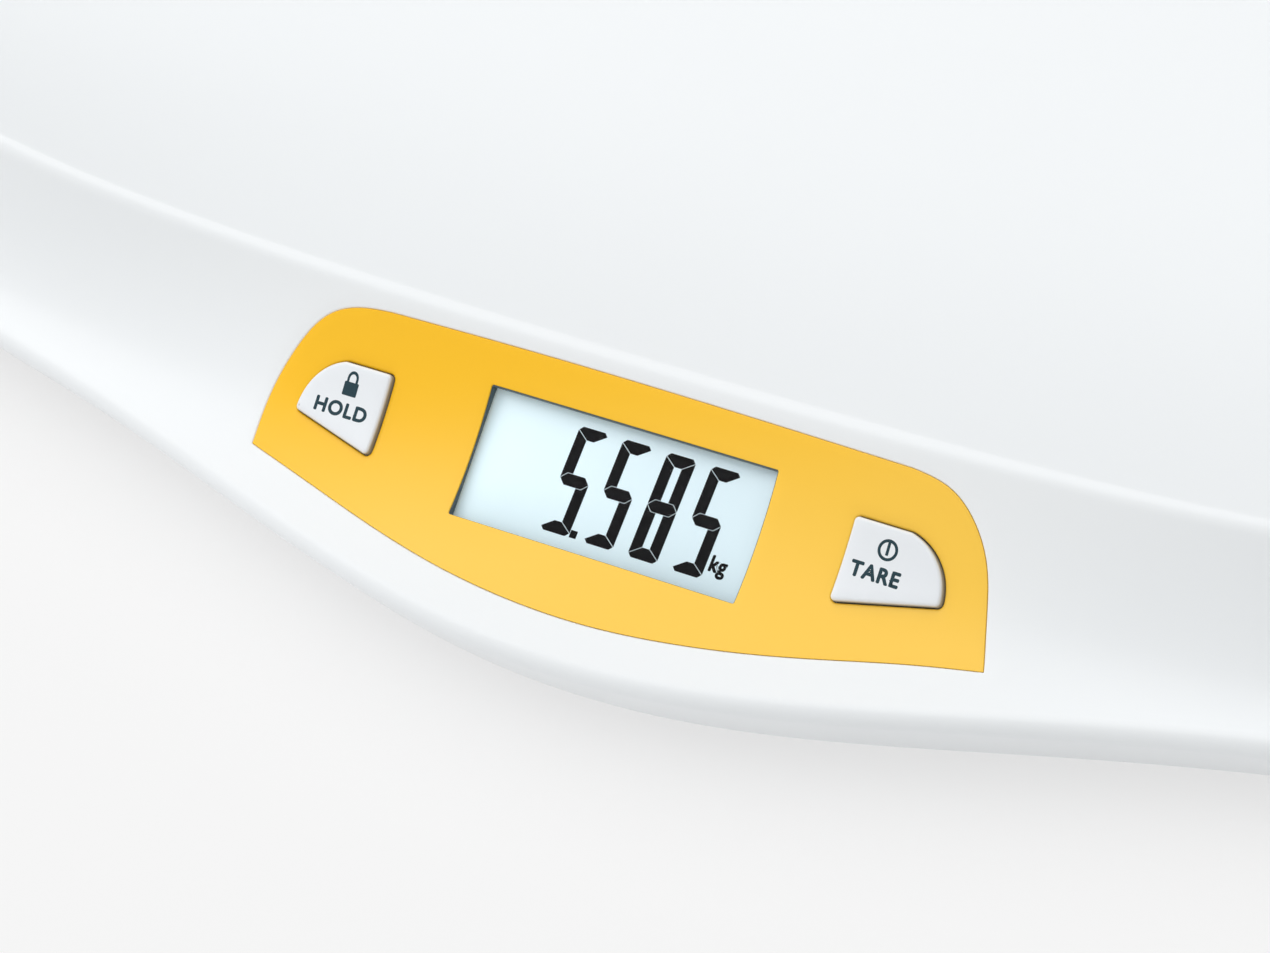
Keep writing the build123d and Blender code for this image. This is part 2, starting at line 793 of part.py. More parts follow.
# ---- battery door and hinge pin ----
door_low = underside_height + door_gap
door_high = door_low + door_thickness
door = box(
    (-bay_x + door_gap, bay_x - door_gap),
    (bay_front + door_gap, bay_back - door_swing_gap),
    (door_low, door_high),
)
barrel_place = Pos(0, hinge_y, door_hinge_height) * Rot(0, 90, 0)
arm = box(
    (-hinge_length / 2, hinge_length / 2),
    (bay_back - hinge_arm, hinge_y),
    (door_low, door_high),
)
door = door + arm + barrel_place * Cylinder(hinge_barrel / 2, hinge_length)
door -= barrel_place * Cylinder(hinge_pin_diameter / 2 + hinge_pin_gap, hinge_length + overcut)
latch_y = bay_front + 2 * door_gap
door += box(
    (-latch_width / 2, latch_width / 2),
    (latch_y, latch_y + latch_thickness),
    (door_high, door_high + latch_height),
)
for i in range(grip_grooves):
    groove_y = bay_front + grip_setback + grip_pitch * i
    groove_height = (door_low - overcut, door_low + grip_depth)
    door -= box((-grip_reach, grip_reach), (groove_y, groove_y + grip_width), groove_height)
save("battery_door", door)
pin = barrel_place * Cylinder(hinge_pin_diameter / 2, pin_length)
save("door_hinge_pin", pin)

# ---- unit key under the base ----
unit_bottom = underside_height + unit_recess
unit_key = post(unit_x, unit_y, unit_diameter, unit_bottom, unit_flange_top)
unit_key = fillet(unit_key.edges().sort_by(Axis.Z)[0], unit_edge)
unit_key += post(unit_x, unit_y, unit_flange, unit_top, unit_flange_top)
save("unit_button", unit_key)
unit_frame = Pos(unit_x, unit_y, unit_stem_top) * Rot(180, 0, 0)
save("unit_switch", switch_body(unit_frame, stem_bore, stem_bore_foot))
save("unit_switch_stem", unit_frame * post(0, 0, stem_diameter, stem_foot, plunger_foot))
unit_board_place = Pos(unit_x, unit_y, unit_stem_top + board_thickness / 2)
save("unit_board", unit_board_place * Box(*unit_board, board_thickness))

# ---- wires ----
snap_face = terminal_x + fit_gap + snap_thickness
for name, side in (("red", 1), ("black", -1)):
    shift = side * wire_spacing / 2
    end = board_point(33 + shift, board_height / 2 - 4, board_bottom)
    before_end = end - console_normal * 8
    route = [
        (snap_face, battery_y + shift, battery_z),
        (snap_face + 9 + shift, battery_y + shift, battery_z),
        (snap_face + 16 + shift, battery_y - 7 + shift, battery_z - 1),
        (snap_face + 17 + shift, battery_y - 22, battery_z - 2),
        tuple(before_end),
        tuple(end),
    ]
    save(f"battery_wire_{name}", lead(f"battery wire {name}", route, wire_diameter))

lead_z = base_top + cell_lead_diameter / 2 + fit_gap
for name, (x, y) in foot_places.items():
    side = 1 if x > 0 else -1
    back = y > 0
    gauge_side = x - side * (gauge_x + pad_block[0] / 2)
    gauge_z = cell_top + pad_block[2] / 2
    end_u = side * (56 if back else 72)
    end = board_point(end_u, board_height / 2 - 4, board_bottom)
    before_end = end - console_normal * 9
    leaving = [(gauge_side, y, gauge_z), (gauge_side - side * 10, y, gauge_z)]
    if back:
        middle = [(side * 150, 96, lead_z), (side * 140, 52, lead_z), (side * 146, 4, lead_z)]
        middle += [(side * 138, -40, lead_z), (side * 112, -72, lead_z), (side * 80, -91, lead_z + 0.4)]
    else:
        middle = [(side * 142, -82, lead_z), (side * 114, -99, lead_z), (side * 88, -103, lead_z + 0.4)]
    route = leaving + middle + [tuple(before_end), tuple(end)]
    save(f"load_cell_lead_{name}", lead(f"load cell lead {name}", route, cell_lead_diameter))

unit_end = board_point(52, board_height / 2 - 4, board_bottom)
unit_start_z = unit_stem_top + board_thickness / 2
route = [
    (unit_x, unit_y - unit_board[1] / 2, unit_start_z),
    (unit_x, unit_y - unit_board[1] / 2 - 8, unit_start_z),
    (unit_x - 12, unit_y - unit_board[1] / 2 - 18, unit_start_z - 1),
    tuple(unit_end - console_normal * 8),
    tuple(unit_end),
]
save("unit_lead", lead("unit lead", route, wire_diameter))
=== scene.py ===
"""Shapes and finishes of a digital baby weighing scale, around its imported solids.

Lengths are in metres, +Z is up, and the console is on the -Y side.
"""

import math

import bmesh
import bpy
import numpy as np
from mathutils import Matrix, Vector
from mathutils.geometry import delaunay_2d_cdt


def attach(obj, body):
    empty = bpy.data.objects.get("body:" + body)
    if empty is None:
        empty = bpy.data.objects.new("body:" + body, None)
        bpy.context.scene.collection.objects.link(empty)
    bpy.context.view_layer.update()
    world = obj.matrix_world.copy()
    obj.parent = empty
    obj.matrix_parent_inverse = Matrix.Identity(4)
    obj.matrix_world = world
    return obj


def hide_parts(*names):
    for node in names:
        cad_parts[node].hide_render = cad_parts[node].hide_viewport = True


bl_info = {
    "name": "Baby weighing scale",
    "version": (1, 0, 0),
    "blender": (4, 5, 0),
    "location": "3D View > Sidebar > Scale",
    "description": "Makes the tray, console, keys, display and base of a baby weighing scale",
    "category": "Object",
}

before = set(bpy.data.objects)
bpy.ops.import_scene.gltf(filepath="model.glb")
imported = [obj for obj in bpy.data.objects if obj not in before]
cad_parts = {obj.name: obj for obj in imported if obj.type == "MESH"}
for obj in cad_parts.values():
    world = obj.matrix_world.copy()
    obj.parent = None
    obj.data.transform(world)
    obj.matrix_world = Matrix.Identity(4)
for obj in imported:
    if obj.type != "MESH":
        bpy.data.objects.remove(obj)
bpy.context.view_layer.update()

FEET = ("front_left", "front_right", "back_left", "back_right")
WELD = 4e-6  # points nearer than this become one
SHARP_TURN = math.radians(35)  # edges that turn further aren't shaded smooth
CORNER_TURN = math.radians(25)  # a loop that turns further at a point has a corner there
CROWDED = 0.15  # share of a step below which a loop's points are thinned
GRID_MARGIN = 0.6  # share of a step that a fill's grid keeps off its loops


# ---- sizes and colours that a user would change ----


def length(label, words, value):
    """A length property in metres."""
    return bpy.props.FloatProperty(
        name=label, description=words, default=value, unit="LENGTH", precision=5
    )


def number(label, words, value):
    """A plain number property."""
    return bpy.props.FloatProperty(name=label, description=words, default=value)


def angle(label, words, degrees):
    """An angle property, given in degrees."""
    return bpy.props.FloatProperty(
        name=label, description=words, default=math.radians(degrees), subtype="ANGLE"
    )


def colour(label, words, value):
    """A scene-linear colour property."""
    return bpy.props.FloatVectorProperty(
        name=label, description=words, default=value, subtype="COLOR", size=3, min=0, max=1
    )


class TraySizes(bpy.types.PropertyGroup):
    length: length("Length", "Overall length of the tray", 0.54098)
    depth: length("Depth", "Overall depth, with the console's bulge", 0.32096)
    underside: length("Underside height", "Floor to the lower edge of the shell", 0.009)
    wall: length("Wall", "Thickness of the shell", 0.0026)
    lip_height: length("Lip height", "Top of the rolled lip", 0.0246)
    lip_radius: length("Lip radius", "Radius of the rolled lip", 0.003)
    side_lean: angle("Side lean", "Lean of the side wall towards the floor", 19.4)
    end_rim: length("End rim", "Plan width of the band at the ends", 0.020)
    back_rim: length("Back rim", "Plan width of the band at the back", 0.018)
    ridge_height: length("Ridge height", "Ridge at the middle of the front", 0.0468)
    ridge_end_height: length("Ridge end height", "Ridge at the ends", 0.05878)
    ridge_back_share: number("Back share", "Share of the climb that the back ridge has", 0.5)
    ridge_radius: length("Ridge radius", "Rounding of the ridge", 0.0035)
    corner_power: number("Corner power", "Power of the plan's superellipse", 4.2)
    basin_floor: length("Basin floor", "Height of the middle of the tray", 0.033)
    basin_power: number("Basin power", "Power with which the basin climbs", 3.0)
    console_reach: length("Console reach", "How far the console bulges out", 0.0343)
    console_half_width: length("Console half width", "Half width of the bulge", 0.109)
    console_power: number("Console power", "Power of the bulge", 2.05)
    console_band: length("Console band", "Plan width of the band at the console", 0.054)


class ConsoleSizes(bpy.types.PropertyGroup):
    window_setback: length("Window setback", "Lip to the middle of the window", 0.0323)
    window_width: length("Window width", "Width of the display window", 0.064)
    window_depth: length("Window depth", "Depth of the display window", 0.0262)
    window_rim: length("Window rim", "Wall around the window, under the trim", 0.001)
    trim_thickness: length("Trim thickness", "Thickness of the yellow trim", 0.0008)
    trim_gap: length("Trim gap", "Gap between the trim and its pocket", 0.00015)
    lens_setback: length("Lens setback", "Console plane to the lens", 0.0014)
    lens_thickness: length("Lens thickness", "Thickness of the clear lens", 0.0006)
    lens_overlap: length("Lens overlap", "Lens behind the trim, on each side", 0.002)
    glass_thickness: length("Glass thickness", "Thickness of the display cell", 0.0028)
    key_rise: length("Key rise", "Key face over the trim", 0.0012)
    key_gap: length("Key gap", "Gap around each key", 0.0003)
    key_edge: length("Key edge", "Rounding of a key's face", 0.00075)
    key_flange: length("Key flange", "Reach of a key's hidden flange", 0.0015)
    key_flange_thickness: length("Flange thickness", "Thickness of that flange", 0.0012)
    digit_height: length("Digit height", "Height of a display digit", 0.0213)
    digit_width: length("Digit width", "Width of a display digit", 0.0065)
    digit_pitch: length("Digit pitch", "Distance from digit to digit", 0.0099)
    segment: length("Segment", "Thickness of a digit's segments", 0.0024)
    lettering: length("Lettering", "Height of the words on the keys", 0.0031)


class Colours(bpy.types.PropertyGroup):
    shell: colour("Shell", "Moulded shell", (0.86, 0.885, 0.9))
    trim: colour("Trim", "Trim around the display", (0.98, 0.54, 0.004))
    key: colour("Key", "Key faces", (0.82, 0.85, 0.88))
    lettering: colour("Lettering", "Printed words and signs", (0.02, 0.05, 0.065))
    cell: colour("Display cell", "Unlit display", (0.73, 0.89, 0.96))
    segment: colour("Segments", "Dark display segments", (0.008, 0.008, 0.009))
    base: colour("Base", "Base plate and battery door", (0.8, 0.82, 0.84))
    rubber: colour("Rubber", "Foot pads", (0.045, 0.045, 0.05))
    steel: colour("Steel", "Screws and load cells", (0.6, 0.6, 0.59))
    board: colour("Board", "Circuit boards", (0.012, 0.11, 0.035))
    floor: colour("Floor", "Studio floor", (0.92, 0.92, 0.92))


def sizes():
    """The tray's and the console's sizes, as set in the sidebar."""
    scene = bpy.context.scene
    return scene.scale_tray, scene.scale_console


# ---- the tray's surfaces ----

# Rounds after which the searches for a point on the band stand still.
LEVEL_ROUNDS, DROP_ROUNDS = 16, 14


class TrayForm:
    """The tray's surfaces as functions of whole arrays of points."""

    def __init__(self):
        self.tray, self.console = sizes()
        tray = self.tray
        self.lip_x = tray.length / 2 - tray.lip_radius
        self.ridge_x = self.lip_x - tray.end_rim
        self.front_lip = -tray.depth / 2 + tray.lip_radius
        self.flank_lip = self.front_lip + tray.console_reach
        self.back_lip = tray.depth / 2 - tray.lip_radius
        self.front_ridge = self.front_lip + tray.console_band
        self.back_ridge = self.back_lip - tray.back_rim
        self.middle_y = (self.front_ridge + self.back_ridge) / 2
        self.reach_y = (self.back_ridge - self.front_ridge) / 2
        share = self.console.window_setback / tray.console_band
        climb = tray.ridge_height - tray.lip_height
        self.plane_y = self.front_lip + self.console.window_setback
        self.plane_z = tray.lip_height + climb * share**2
        tilt = math.atan(2 * climb * share / tray.console_band)
        self.cos, self.sin = math.cos(tilt), math.sin(tilt)

    def other(self, value):
        """The unit superellipse's other coordinate: (1 - |value|^p)^(1/p)."""
        power = self.tray.corner_power
        return np.clip(1 - np.abs(value) ** power, 0, 1) ** (1 / power)

    def lip(self, c, s):
        """Plan of the lip: a superellipse whose front is pushed out by reach exp(-|x / w|^p)."""
        tray = self.tray
        x = self.lip_x * c
        bulge = np.exp(-np.abs(x / tray.console_half_width) ** tray.console_power)
        front = self.flank_lip - tray.console_reach * bulge
        return x, (front + self.back_lip) / 2 + (self.back_lip - front) / 2 * s

    def ridge(self, c, s):
        """Plan of the ridge: a plain superellipse."""
        return self.ridge_x * c, self.middle_y + self.reach_y * s

    def ridge_level(self, x, y):
        """Height of the ridge: it climbs as x squared, and part of the way towards the back."""
        tray = self.tray
        along = (x / self.ridge_x) ** 2
        across = np.clip((y - self.front_ridge) / (2 * self.reach_y), 0, 1)
        share = 1 - (1 - along) * (1 - tray.ridge_back_share * across)
        return tray.ridge_height + (tray.ridge_end_height - tray.ridge_height) * share

    def band(self, c, s, t):
        """The band: straight in plan from lip (t = 0) to ridge (t = 1), rising as t squared."""
        lip_x, lip_y = self.lip(c, s)
        ridge_x, ridge_y = self.ridge(c, s)
        low = self.tray.lip_height
        rise = self.ridge_level(ridge_x, ridge_y) - low
        return np.stack(
            [lip_x + (ridge_x - lip_x) * t, lip_y + (ridge_y - lip_y) * t, low + rise * t**2], -1
        )

    def basin(self, c, s, rho):
        """The basin: from its floor to the ridge as a power of the superellipse radius rho."""
        x, y = self.ridge_x * c * rho, self.middle_y + self.reach_y * s * rho
        low = self.tray.basin_floor
        z = low + (self.ridge_level(x, y) - low) * rho**self.tray.basin_power
        return np.stack([x, y, z], -1)

    def basin_level(self, x, y):
        """The basin's height over a plan point."""
        power, low = self.tray.corner_power, self.tray.basin_floor
        across, along = np.abs((y - self.middle_y) / self.reach_y), np.abs(x / self.ridge_x)
        rho = along**power + across**power
        return low + (self.ridge_level(x, y) - low) * rho ** (self.tray.basin_power / power)

    def front_level(self, x, y):
        """The front band's height over a plan point.

        c = x over the ring's half width at t, and t from the rings' y at c, in turn until still.
        """
        t = np.full(np.shape(x), 0.5)
        for _ in range(LEVEL_ROUNDS):
            c = x / (self.lip_x - t * (self.lip_x - self.ridge_x))
            s = -self.other(c)
            lip_y, ridge_y = self.lip(c, s)[1], self.ridge(c, s)[1]
            t = (y - lip_y) / (ridge_y - lip_y)
        low = self.tray.lip_height
        return low + (self.ridge_level(*self.ridge(c, s)) - low) * t**2

    def place(self, u, v, w):
        """Console coordinates to the scale's frame: u along X, v up the slope, w off the plane."""
        y = self.plane_y + v * self.cos - w * self.sin
        return np.stack([u, y, self.plane_z + v * self.sin + w * self.cos], -1)

    def to_console(self, points):
        """Points in the scale's frame to console coordinates u and v."""
        y, z = points[..., 1] - self.plane_y, points[..., 2] - self.plane_z
        return np.stack([points[..., 0], y * self.cos + z * self.sin], -1)

    def drop(self, u, v):
        """Height w of the band over the console plane: the miss times cos tilt is added in turn."""
        w = np.zeros(np.shape(u))
        for _ in range(DROP_ROUNDS):
            x, y, z = np.moveaxis(self.place(u, v, w), -1, 0)
            w = w + (self.front_level(x, y) - z) * self.cos
        return w

    def lift(self, flat, level):
        """Plan points of the console put on the band, then moved along the plane's normal."""
        u, v = flat[:, 0], flat[:, 1]
        return self.place(u, v, self.drop(u, v) + level)

    def level_at(self, flat, w):
        """Plan points of the console put at one height over its plane."""
        return self.place(flat[:, 0], flat[:, 1], np.full(len(flat), w))


# ---- flat outlines ----


def smooth_line(points, step):
    """A natural cubic spline through points, at equal steps of its chord length."""
    points = np.array(points, float)
    chord = np.concatenate([[0], np.cumsum(np.linalg.norm(np.diff(points, axis=0), axis=1))])
    count = len(points)
    gaps = np.diff(chord)
    system = np.eye(count)
    right = np.zeros((count, 2))
    inner = np.arange(1, count - 1)
    system[inner, inner - 1] = gaps[:-1]
    system[inner, inner] = 2 * (gaps[:-1] + gaps[1:])
    system[inner, inner + 1] = gaps[1:]
    slopes = np.diff(points, axis=0) / gaps[:, None]
    right[1:-1] = 6 * (slopes[1:] - slopes[:-1])
    bend = np.linalg.solve(system, right)
    at = np.linspace(0, chord[-1], max(2, int(chord[-1] / step) + 1))
    i = np.clip(np.searchsorted(chord, at, side="right") - 1, 0, count - 2)
    h = gaps[i][:, None]
    a = (chord[i + 1] - at)[:, None] / h
    b = 1 - a
    return (
        a * points[i]
        + b * points[i + 1]
        + ((a**3 - a) * bend[i] + (b**3 - b) * bend[i + 1]) * h**2 / 6
    )


def chain(*lines):
    """Open lines joined end to end into one loop, without their shared ends."""
    return np.concatenate([line[:-1] for line in lines])


def straight(start, end, step):
    """Equal steps along a straight run."""
    start, end = np.array(start, float), np.array(end, float)
    count = max(1, round(float(np.linalg.norm(end - start)) / step))
    return start + (end - start) * np.linspace(0, 1, count + 1)[:, None]


def arc_through(start, middle, end, step):
    """A circular arc through three points."""
    a, b, c = (np.array(point, float) for point in (start, middle, end))
    rows = 2 * np.array([b - a, c - a])
    centre = np.linalg.solve(rows, [b @ b - a @ a, c @ c - a @ a])
    radius = np.linalg.norm(a - centre)
    turn = [math.atan2(*(point - centre)[::-1]) for point in (a, b, c)]
    sweep = np.unwrap(turn)[[0, 2]]
    count = max(2, round(abs(sweep[1] - sweep[0]) * radius / step))
    at = np.linspace(sweep[0], sweep[1], count + 1)
    return centre + radius * np.stack([np.cos(at), np.sin(at)], -1)


def rolled(start, corner, end, weight, q):
    """The rational quadratic curve at q, from start to end, that bows towards a corner.

    ((1 - q)^2 start + 2 w q (1 - q) corner + q^2 end) over the sum of the three factors.
    """
    first, bow, last = (1 - q) ** 2, 2 * weight * q * (1 - q), q**2
    return (first * start + bow * corner + last * end) / (first + bow + last)


def softened(loop, radius, step):
    """A loop with its sharp corners replaced by arcs.

    The arc runs between the points at radius times tan(half turn) before and after the corner,
    and its weight is cos(half turn).
    """
    before = loop - np.roll(loop, 1, 0)
    after = np.roll(loop, -1, 0) - loop
    cross = before[:, 0] * after[:, 1] - before[:, 1] * after[:, 0]
    turn = np.abs(np.arctan2(cross, (before * after).sum(1)))
    corners = np.nonzero(turn > CORNER_TURN)[0]
    shift = (corners[0] + corners[-1] + len(loop)) // 2
    loop, turn = np.roll(loop, -shift, 0), np.roll(turn, -shift)
    corners = np.sort((corners - shift) % len(loop))
    path = np.concatenate([[0], np.cumsum(np.linalg.norm(np.diff(loop, axis=0), axis=1))])
    pieces, last = [], 0
    for corner in corners:
        reach = radius * math.tan(turn[corner] / 2)
        cuts = path[corner] - reach, path[corner] + reach
        start, end = (np.array([np.interp(cut, path, axis) for axis in loop.T]) for cut in cuts)
        q = np.linspace(0, 1, max(3, round(radius * turn[corner] / step)) + 1)[:, None]
        arc = rolled(start, loop[corner], end, math.cos(turn[corner] / 2), q)
        pieces += [loop[last : np.searchsorted(path, cuts[0])], arc]
        last = np.searchsorted(path, cuts[1])
    rounded = np.concatenate([*pieces, loop[last:]])
    gap = np.linalg.norm(rounded - np.roll(rounded, 1, 0), axis=1)
    return rounded[gap > step * CROWDED]


def inset(loop, distance):
    """A loop moved towards its left, along the mean of its neighbours' normals."""
    along = np.roll(loop, -1, 0) - np.roll(loop, 1, 0)
    along /= np.linalg.norm(along, axis=1, keepdims=True)
    return loop + distance * np.stack([-along[:, 1], along[:, 0]], -1)


def rectangle(width, height, radius, step, centre=(0.0, 0.0)):
    """A rectangle with rounded corners, counterclockwise."""
    x, y = width / 2, height / 2
    corners = [(-x, -y), (x, -y), (x, y), (-x, y), (-x, -y)]
    runs = [straight(a, b, step) for a, b in zip(corners, corners[1:])]
    return softened(chain(*runs), radius, step / 2) + np.array(centre)


def around_window(console, grown, radius, step, centre=(0.0, 0.0)):
    """A rectangle around the display window, larger by one growth or by one for each way."""
    width, height = np.array([console.window_width, console.window_depth]) + grown
    return rectangle(width, height, radius, step, centre)


def circle(radius, count, centre=(0.0, 0.0)):
    """A circle, counterclockwise."""
    at = np.arange(count) * 2 * math.pi / count
    return radius * np.stack([np.cos(at), np.sin(at)], -1) + np.array(centre)


TRIM_REACH = (0.082, 0.023)


def trim_outline(growth, step):
    """The trim's edge, from points in mm: bowed below, upright sides, rounded upper corners."""
    left = [(-81.5, -11.2), (-82.1, -4.4), (-81.4, 2.1), (-79.1, 8.8), (-72.1, 17.9)]
    left += [(-67.7, 19.9), (-58.4, 21.2)]
    right = [(58.4, 20.9), (67.2, 19.1), (73.8, 13.5), (76.7, 8.7), (80.0, -1.7), (83.0, -10.9)]
    lower = [(83.0, -10.9), (69.8, -13.6), (54.9, -17.3), (39.7, -20.9), (23.8, -23.7)]
    lower += [(7.0, -25.4), (-11.1, -25.3), (-30.9, -23.1), (-52.7, -18.5), (-64.1, -15.6), left[0]]
    top = [left[-1], (-30.2, 21.6), (6.2, 21.6), right[0]]
    scale = (1 + growth / np.array(TRIM_REACH)) / 1000
    loop = chain(*(smooth_line(np.array(line) * scale, step) for line in (left, top, right, lower)))
    return loop[::-1]


KEYS = {
    "hold": {"side": -1, "inner": 0.0546, "width": 0.02},
    "tare": {"side": 1, "inner": 0.0499, "width": 0.0211},
}
KEY_TOP, KEY_INNER_FOOT, KEY_OUTER_FOOT = 0.0097, -0.007, -0.002
KEY_ARC_START, KEY_ARC_MIDDLE = 0.56, (0.9, 0.5)  # shares of the width, and of the top
KEY_CORNER = 0.001


def key_outline(side, inner, width, growth=0.0, step=0.0004):
    """A key's face: straight on its inner, upper and lower sides, an arc outside."""
    foot_in, top_in = (side * inner, KEY_INNER_FOOT), (side * inner, KEY_TOP)
    arc_start = (side * (inner + KEY_ARC_START * width), KEY_TOP)
    arc_middle = (side * (inner + KEY_ARC_MIDDLE[0] * width), KEY_ARC_MIDDLE[1] * KEY_TOP)
    arc_end = (side * (inner + width), KEY_OUTER_FOOT)
    loop = chain(
        straight(foot_in, top_in, step),
        straight(top_in, arc_start, step),
        arc_through(arc_start, arc_middle, arc_end, step),
        straight(arc_end, foot_in, step),
    )
    loop = softened(loop, KEY_CORNER, step / 2)
    if side > 0:
        loop = loop[::-1]
    return inset(loop, -growth)


# ---- meshes ----


def inside(points, loops):
    """Whether each point is in the region: it lies under an odd number of loop edges."""
    a = np.concatenate(loops)
    b = np.concatenate([np.roll(loop, -1, 0) for loop in loops])
    x, y = points[:, None, 0], points[:, None, 1]
    crossed = (a[:, 1] > y) != (b[:, 1] > y)
    height = np.where(b[:, 1] == a[:, 1], 1.0, b[:, 1] - a[:, 1])
    at = a[:, 0] + (y - a[:, 1]) * (b[:, 0] - a[:, 0]) / height
    return (crossed & (x < at)).sum(1) % 2 == 1


def filled(loops, step):
    """A flat region as triangles, between its outside loop and its holes.

    Its points are the loops' own, in order, then a square grid that keeps off them.
    """
    rim = np.concatenate(loops)
    ends = np.cumsum([len(loop) for loop in loops])
    starts = ends - [len(loop) for loop in loops]
    edges = []
    for start, end in zip(starts, ends):
        ring = np.arange(start, end)
        edges += np.stack([ring, np.roll(ring, -1)], -1).tolist()
    low, high = rim.min(0), rim.max(0)
    spans = [np.arange(low[axis] + step / 2, high[axis], step) for axis in (0, 1)]
    grid = np.stack(np.meshgrid(*spans), -1).reshape(-1, 2)
    if len(grid):
        grid = grid[inside(grid, loops)]
    if len(grid):
        gap = np.linalg.norm(grid[:, None] - rim[None], axis=2).min(1)
        grid = grid[gap > GRID_MARGIN * step]
    points = np.concatenate([rim, grid]) if len(grid) else rim
    scale = 1 / step
    found = delaunay_2d_cdt([Vector(point) for point in points * scale], edges, [], 0, 1e-6)
    order = np.array([source[0] if source else -1 for source in found[3]])
    triangles = order[np.array(found[2])]
    middles = points[triangles].mean(1)
    return points, triangles[inside(middles, loops)]


def grid_quads(count, width):
    """The quads between closed rows of points, counted from row to row."""
    index = np.arange(count * width).reshape(count, width)
    following = np.roll(index, -1, 1)
    return np.stack([index[:-1], index[1:], following[1:], following[:-1]], -1)


def strip(rows):
    """Quads between rows of points, each row below the last, facing right of the rows."""
    rows = np.array(rows)
    return rows.reshape(-1, 3), grid_quads(*rows.shape[:2]).reshape(-1, 4)


def turned_over(sheet):
    """A sheet with its faces the other way out."""
    points, faces = sheet
    return points, faces[:, ::-1]


def rolled_edge(loop, lift, top, radius, turns=4):
    """Rows over a loop's edge: at angle a set in by r (1 - sin a) and down by r (1 - cos a)."""
    bends = np.linspace(0, math.pi / 2, turns + 1) if radius else [math.pi / 2]
    return [
        lift(inset(loop, radius * (1 - math.sin(a))), top - radius * (1 - math.cos(a)))
        for a in bends
    ]


def plate(loops, lift, top, foot, roundings, step, turns=4):
    """A plate over loops, outside first and then holes, between two levels.

    Each loop's edge rolls over by its radius. lift(flat points, level) puts points on the
    surface that carries the plate.
    """
    loops = [loops[0]] + [hole[::-1] for hole in loops[1:]]
    sheets = []
    inner = [inset(loop, r) if r else loop for loop, r in zip(loops, roundings)]
    flat, faces = filled(inner, step)
    sheets.append((lift(flat, top), faces))
    for loop, r in zip(loops, roundings):
        sheets.append(strip([*rolled_edge(loop, lift, top, r, turns), lift(loop, foot)]))
    flat, faces = filled(loops, step)
    sheets.append(turned_over((lift(flat, foot), faces)))
    return sheets


def make_piece(name, sheets, material, body, slot, nodes=(), closed=True):
    """One object from sheets of points and faces, welded, that rides on a body.

    It stands for CAD nodes where some are given.
    """
    points, faces = zip(*sheets)
    counts = [len(part) for part in points]
    starts = np.cumsum(counts) - counts
    points = np.concatenate(points)
    corners = np.concatenate([(part + start).ravel() for part, start in zip(faces, starts)])
    sides = np.concatenate([np.full(len(part), part.shape[1]) for part in faces])
    mesh = bpy.data.meshes.new(name)
    mesh.vertices.add(len(points))
    mesh.vertices.foreach_set("co", points.astype(np.float32).ravel())
    mesh.loops.add(len(corners))
    mesh.loops.foreach_set("vertex_index", corners.astype(np.int32))
    mesh.polygons.add(len(sides))
    mesh.polygons.foreach_set("loop_start", (np.cumsum(sides) - sides).astype(np.int32))
    mesh.update(calc_edges=True)
    mesh.validate()
    work = bmesh.new()
    work.from_mesh(mesh)
    bmesh.ops.remove_doubles(work, verts=work.verts, dist=WELD)
    if closed:
        bmesh.ops.recalc_face_normals(work, faces=work.faces)
    work.to_mesh(mesh)
    work.free()
    mesh.polygons.foreach_set("use_smooth", np.ones(len(mesh.polygons), bool))
    mesh.set_sharp_from_angle(angle=SHARP_TURN)
    mesh.materials.append(material)
    piece = bpy.data.objects.new(name, mesh)
    bpy.context.scene.collection.objects.link(piece)
    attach(piece, body)
    if nodes:
        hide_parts(*nodes)


# ---- materials ----
# Noises are given in waves per metre, and bumps in metres.


class Level:
    """A number that varies over a surface: a socket whose arithmetic adds Math nodes."""

    def __init__(self, nodes, socket):
        self.nodes, self.socket = nodes, socket

    def math(self, operation, *values):
        node = self.nodes.node("ShaderNodeMath", {"operation": operation}, *values)
        return Level(self.nodes, node.outputs[0])

    def __add__(self, other):
        return self.math("ADD", self, other)

    def __radd__(self, other):
        return self.math("ADD", other, self)

    def __sub__(self, other):
        return self.math("SUBTRACT", self, other)

    def __rsub__(self, other):
        return self.math("SUBTRACT", other, self)

    def __mul__(self, other):
        return self.math("MULTIPLY", self, other)

    def __rmul__(self, other):
        return self.math("MULTIPLY", other, self)

    def clamped(self):
        return self.math("MINIMUM", self.math("MAXIMUM", self, 0.0), 1.0)


class Nodes:
    """The nodes of one tree."""

    def __init__(self, tree):
        self.tree = tree

    def node(self, kind, settings=None, *values, **named):
        """A node of a type, with its settings made first and then its sockets' values or links."""
        node = self.tree.nodes.new(kind)
        for key, value in (settings or {}).items():
            setattr(node, key, value)
        for key, value in [*enumerate(values), *named.items()]:
            name = key if isinstance(key, int) else key.replace("_", " ")
            self.feed(node.inputs[name], value)
        return node

    def feed(self, socket, value):
        """Sets a socket's value, or links it."""
        if isinstance(value, Level):
            value = value.socket
        if isinstance(value, bpy.types.NodeSocket):
            self.tree.links.new(value, socket)
        else:
            socket.default_value = value

    def between(self, value, low, high, first=0.0, last=1.0):
        """The first level below low, the last above high and smooth between them."""
        made = self.node(
            "ShaderNodeMapRange",
            {"interpolation_type": "SMOOTHSTEP"},
            Value=value,
            From_Min=low,
            From_Max=high,
            To_Min=first,
            To_Max=last,
        )
        return Level(self, made.outputs[0])

    def in_view(self):
        """1 for what the camera sees, straight, in a gloss or through a clear sheet."""
        path = self.node("ShaderNodeLightPath").outputs
        kinds = ("Camera", "Glossy", "Transmission")
        return sum(Level(self, path[f"Is {kind} Ray"]) for kind in kinds).clamped()


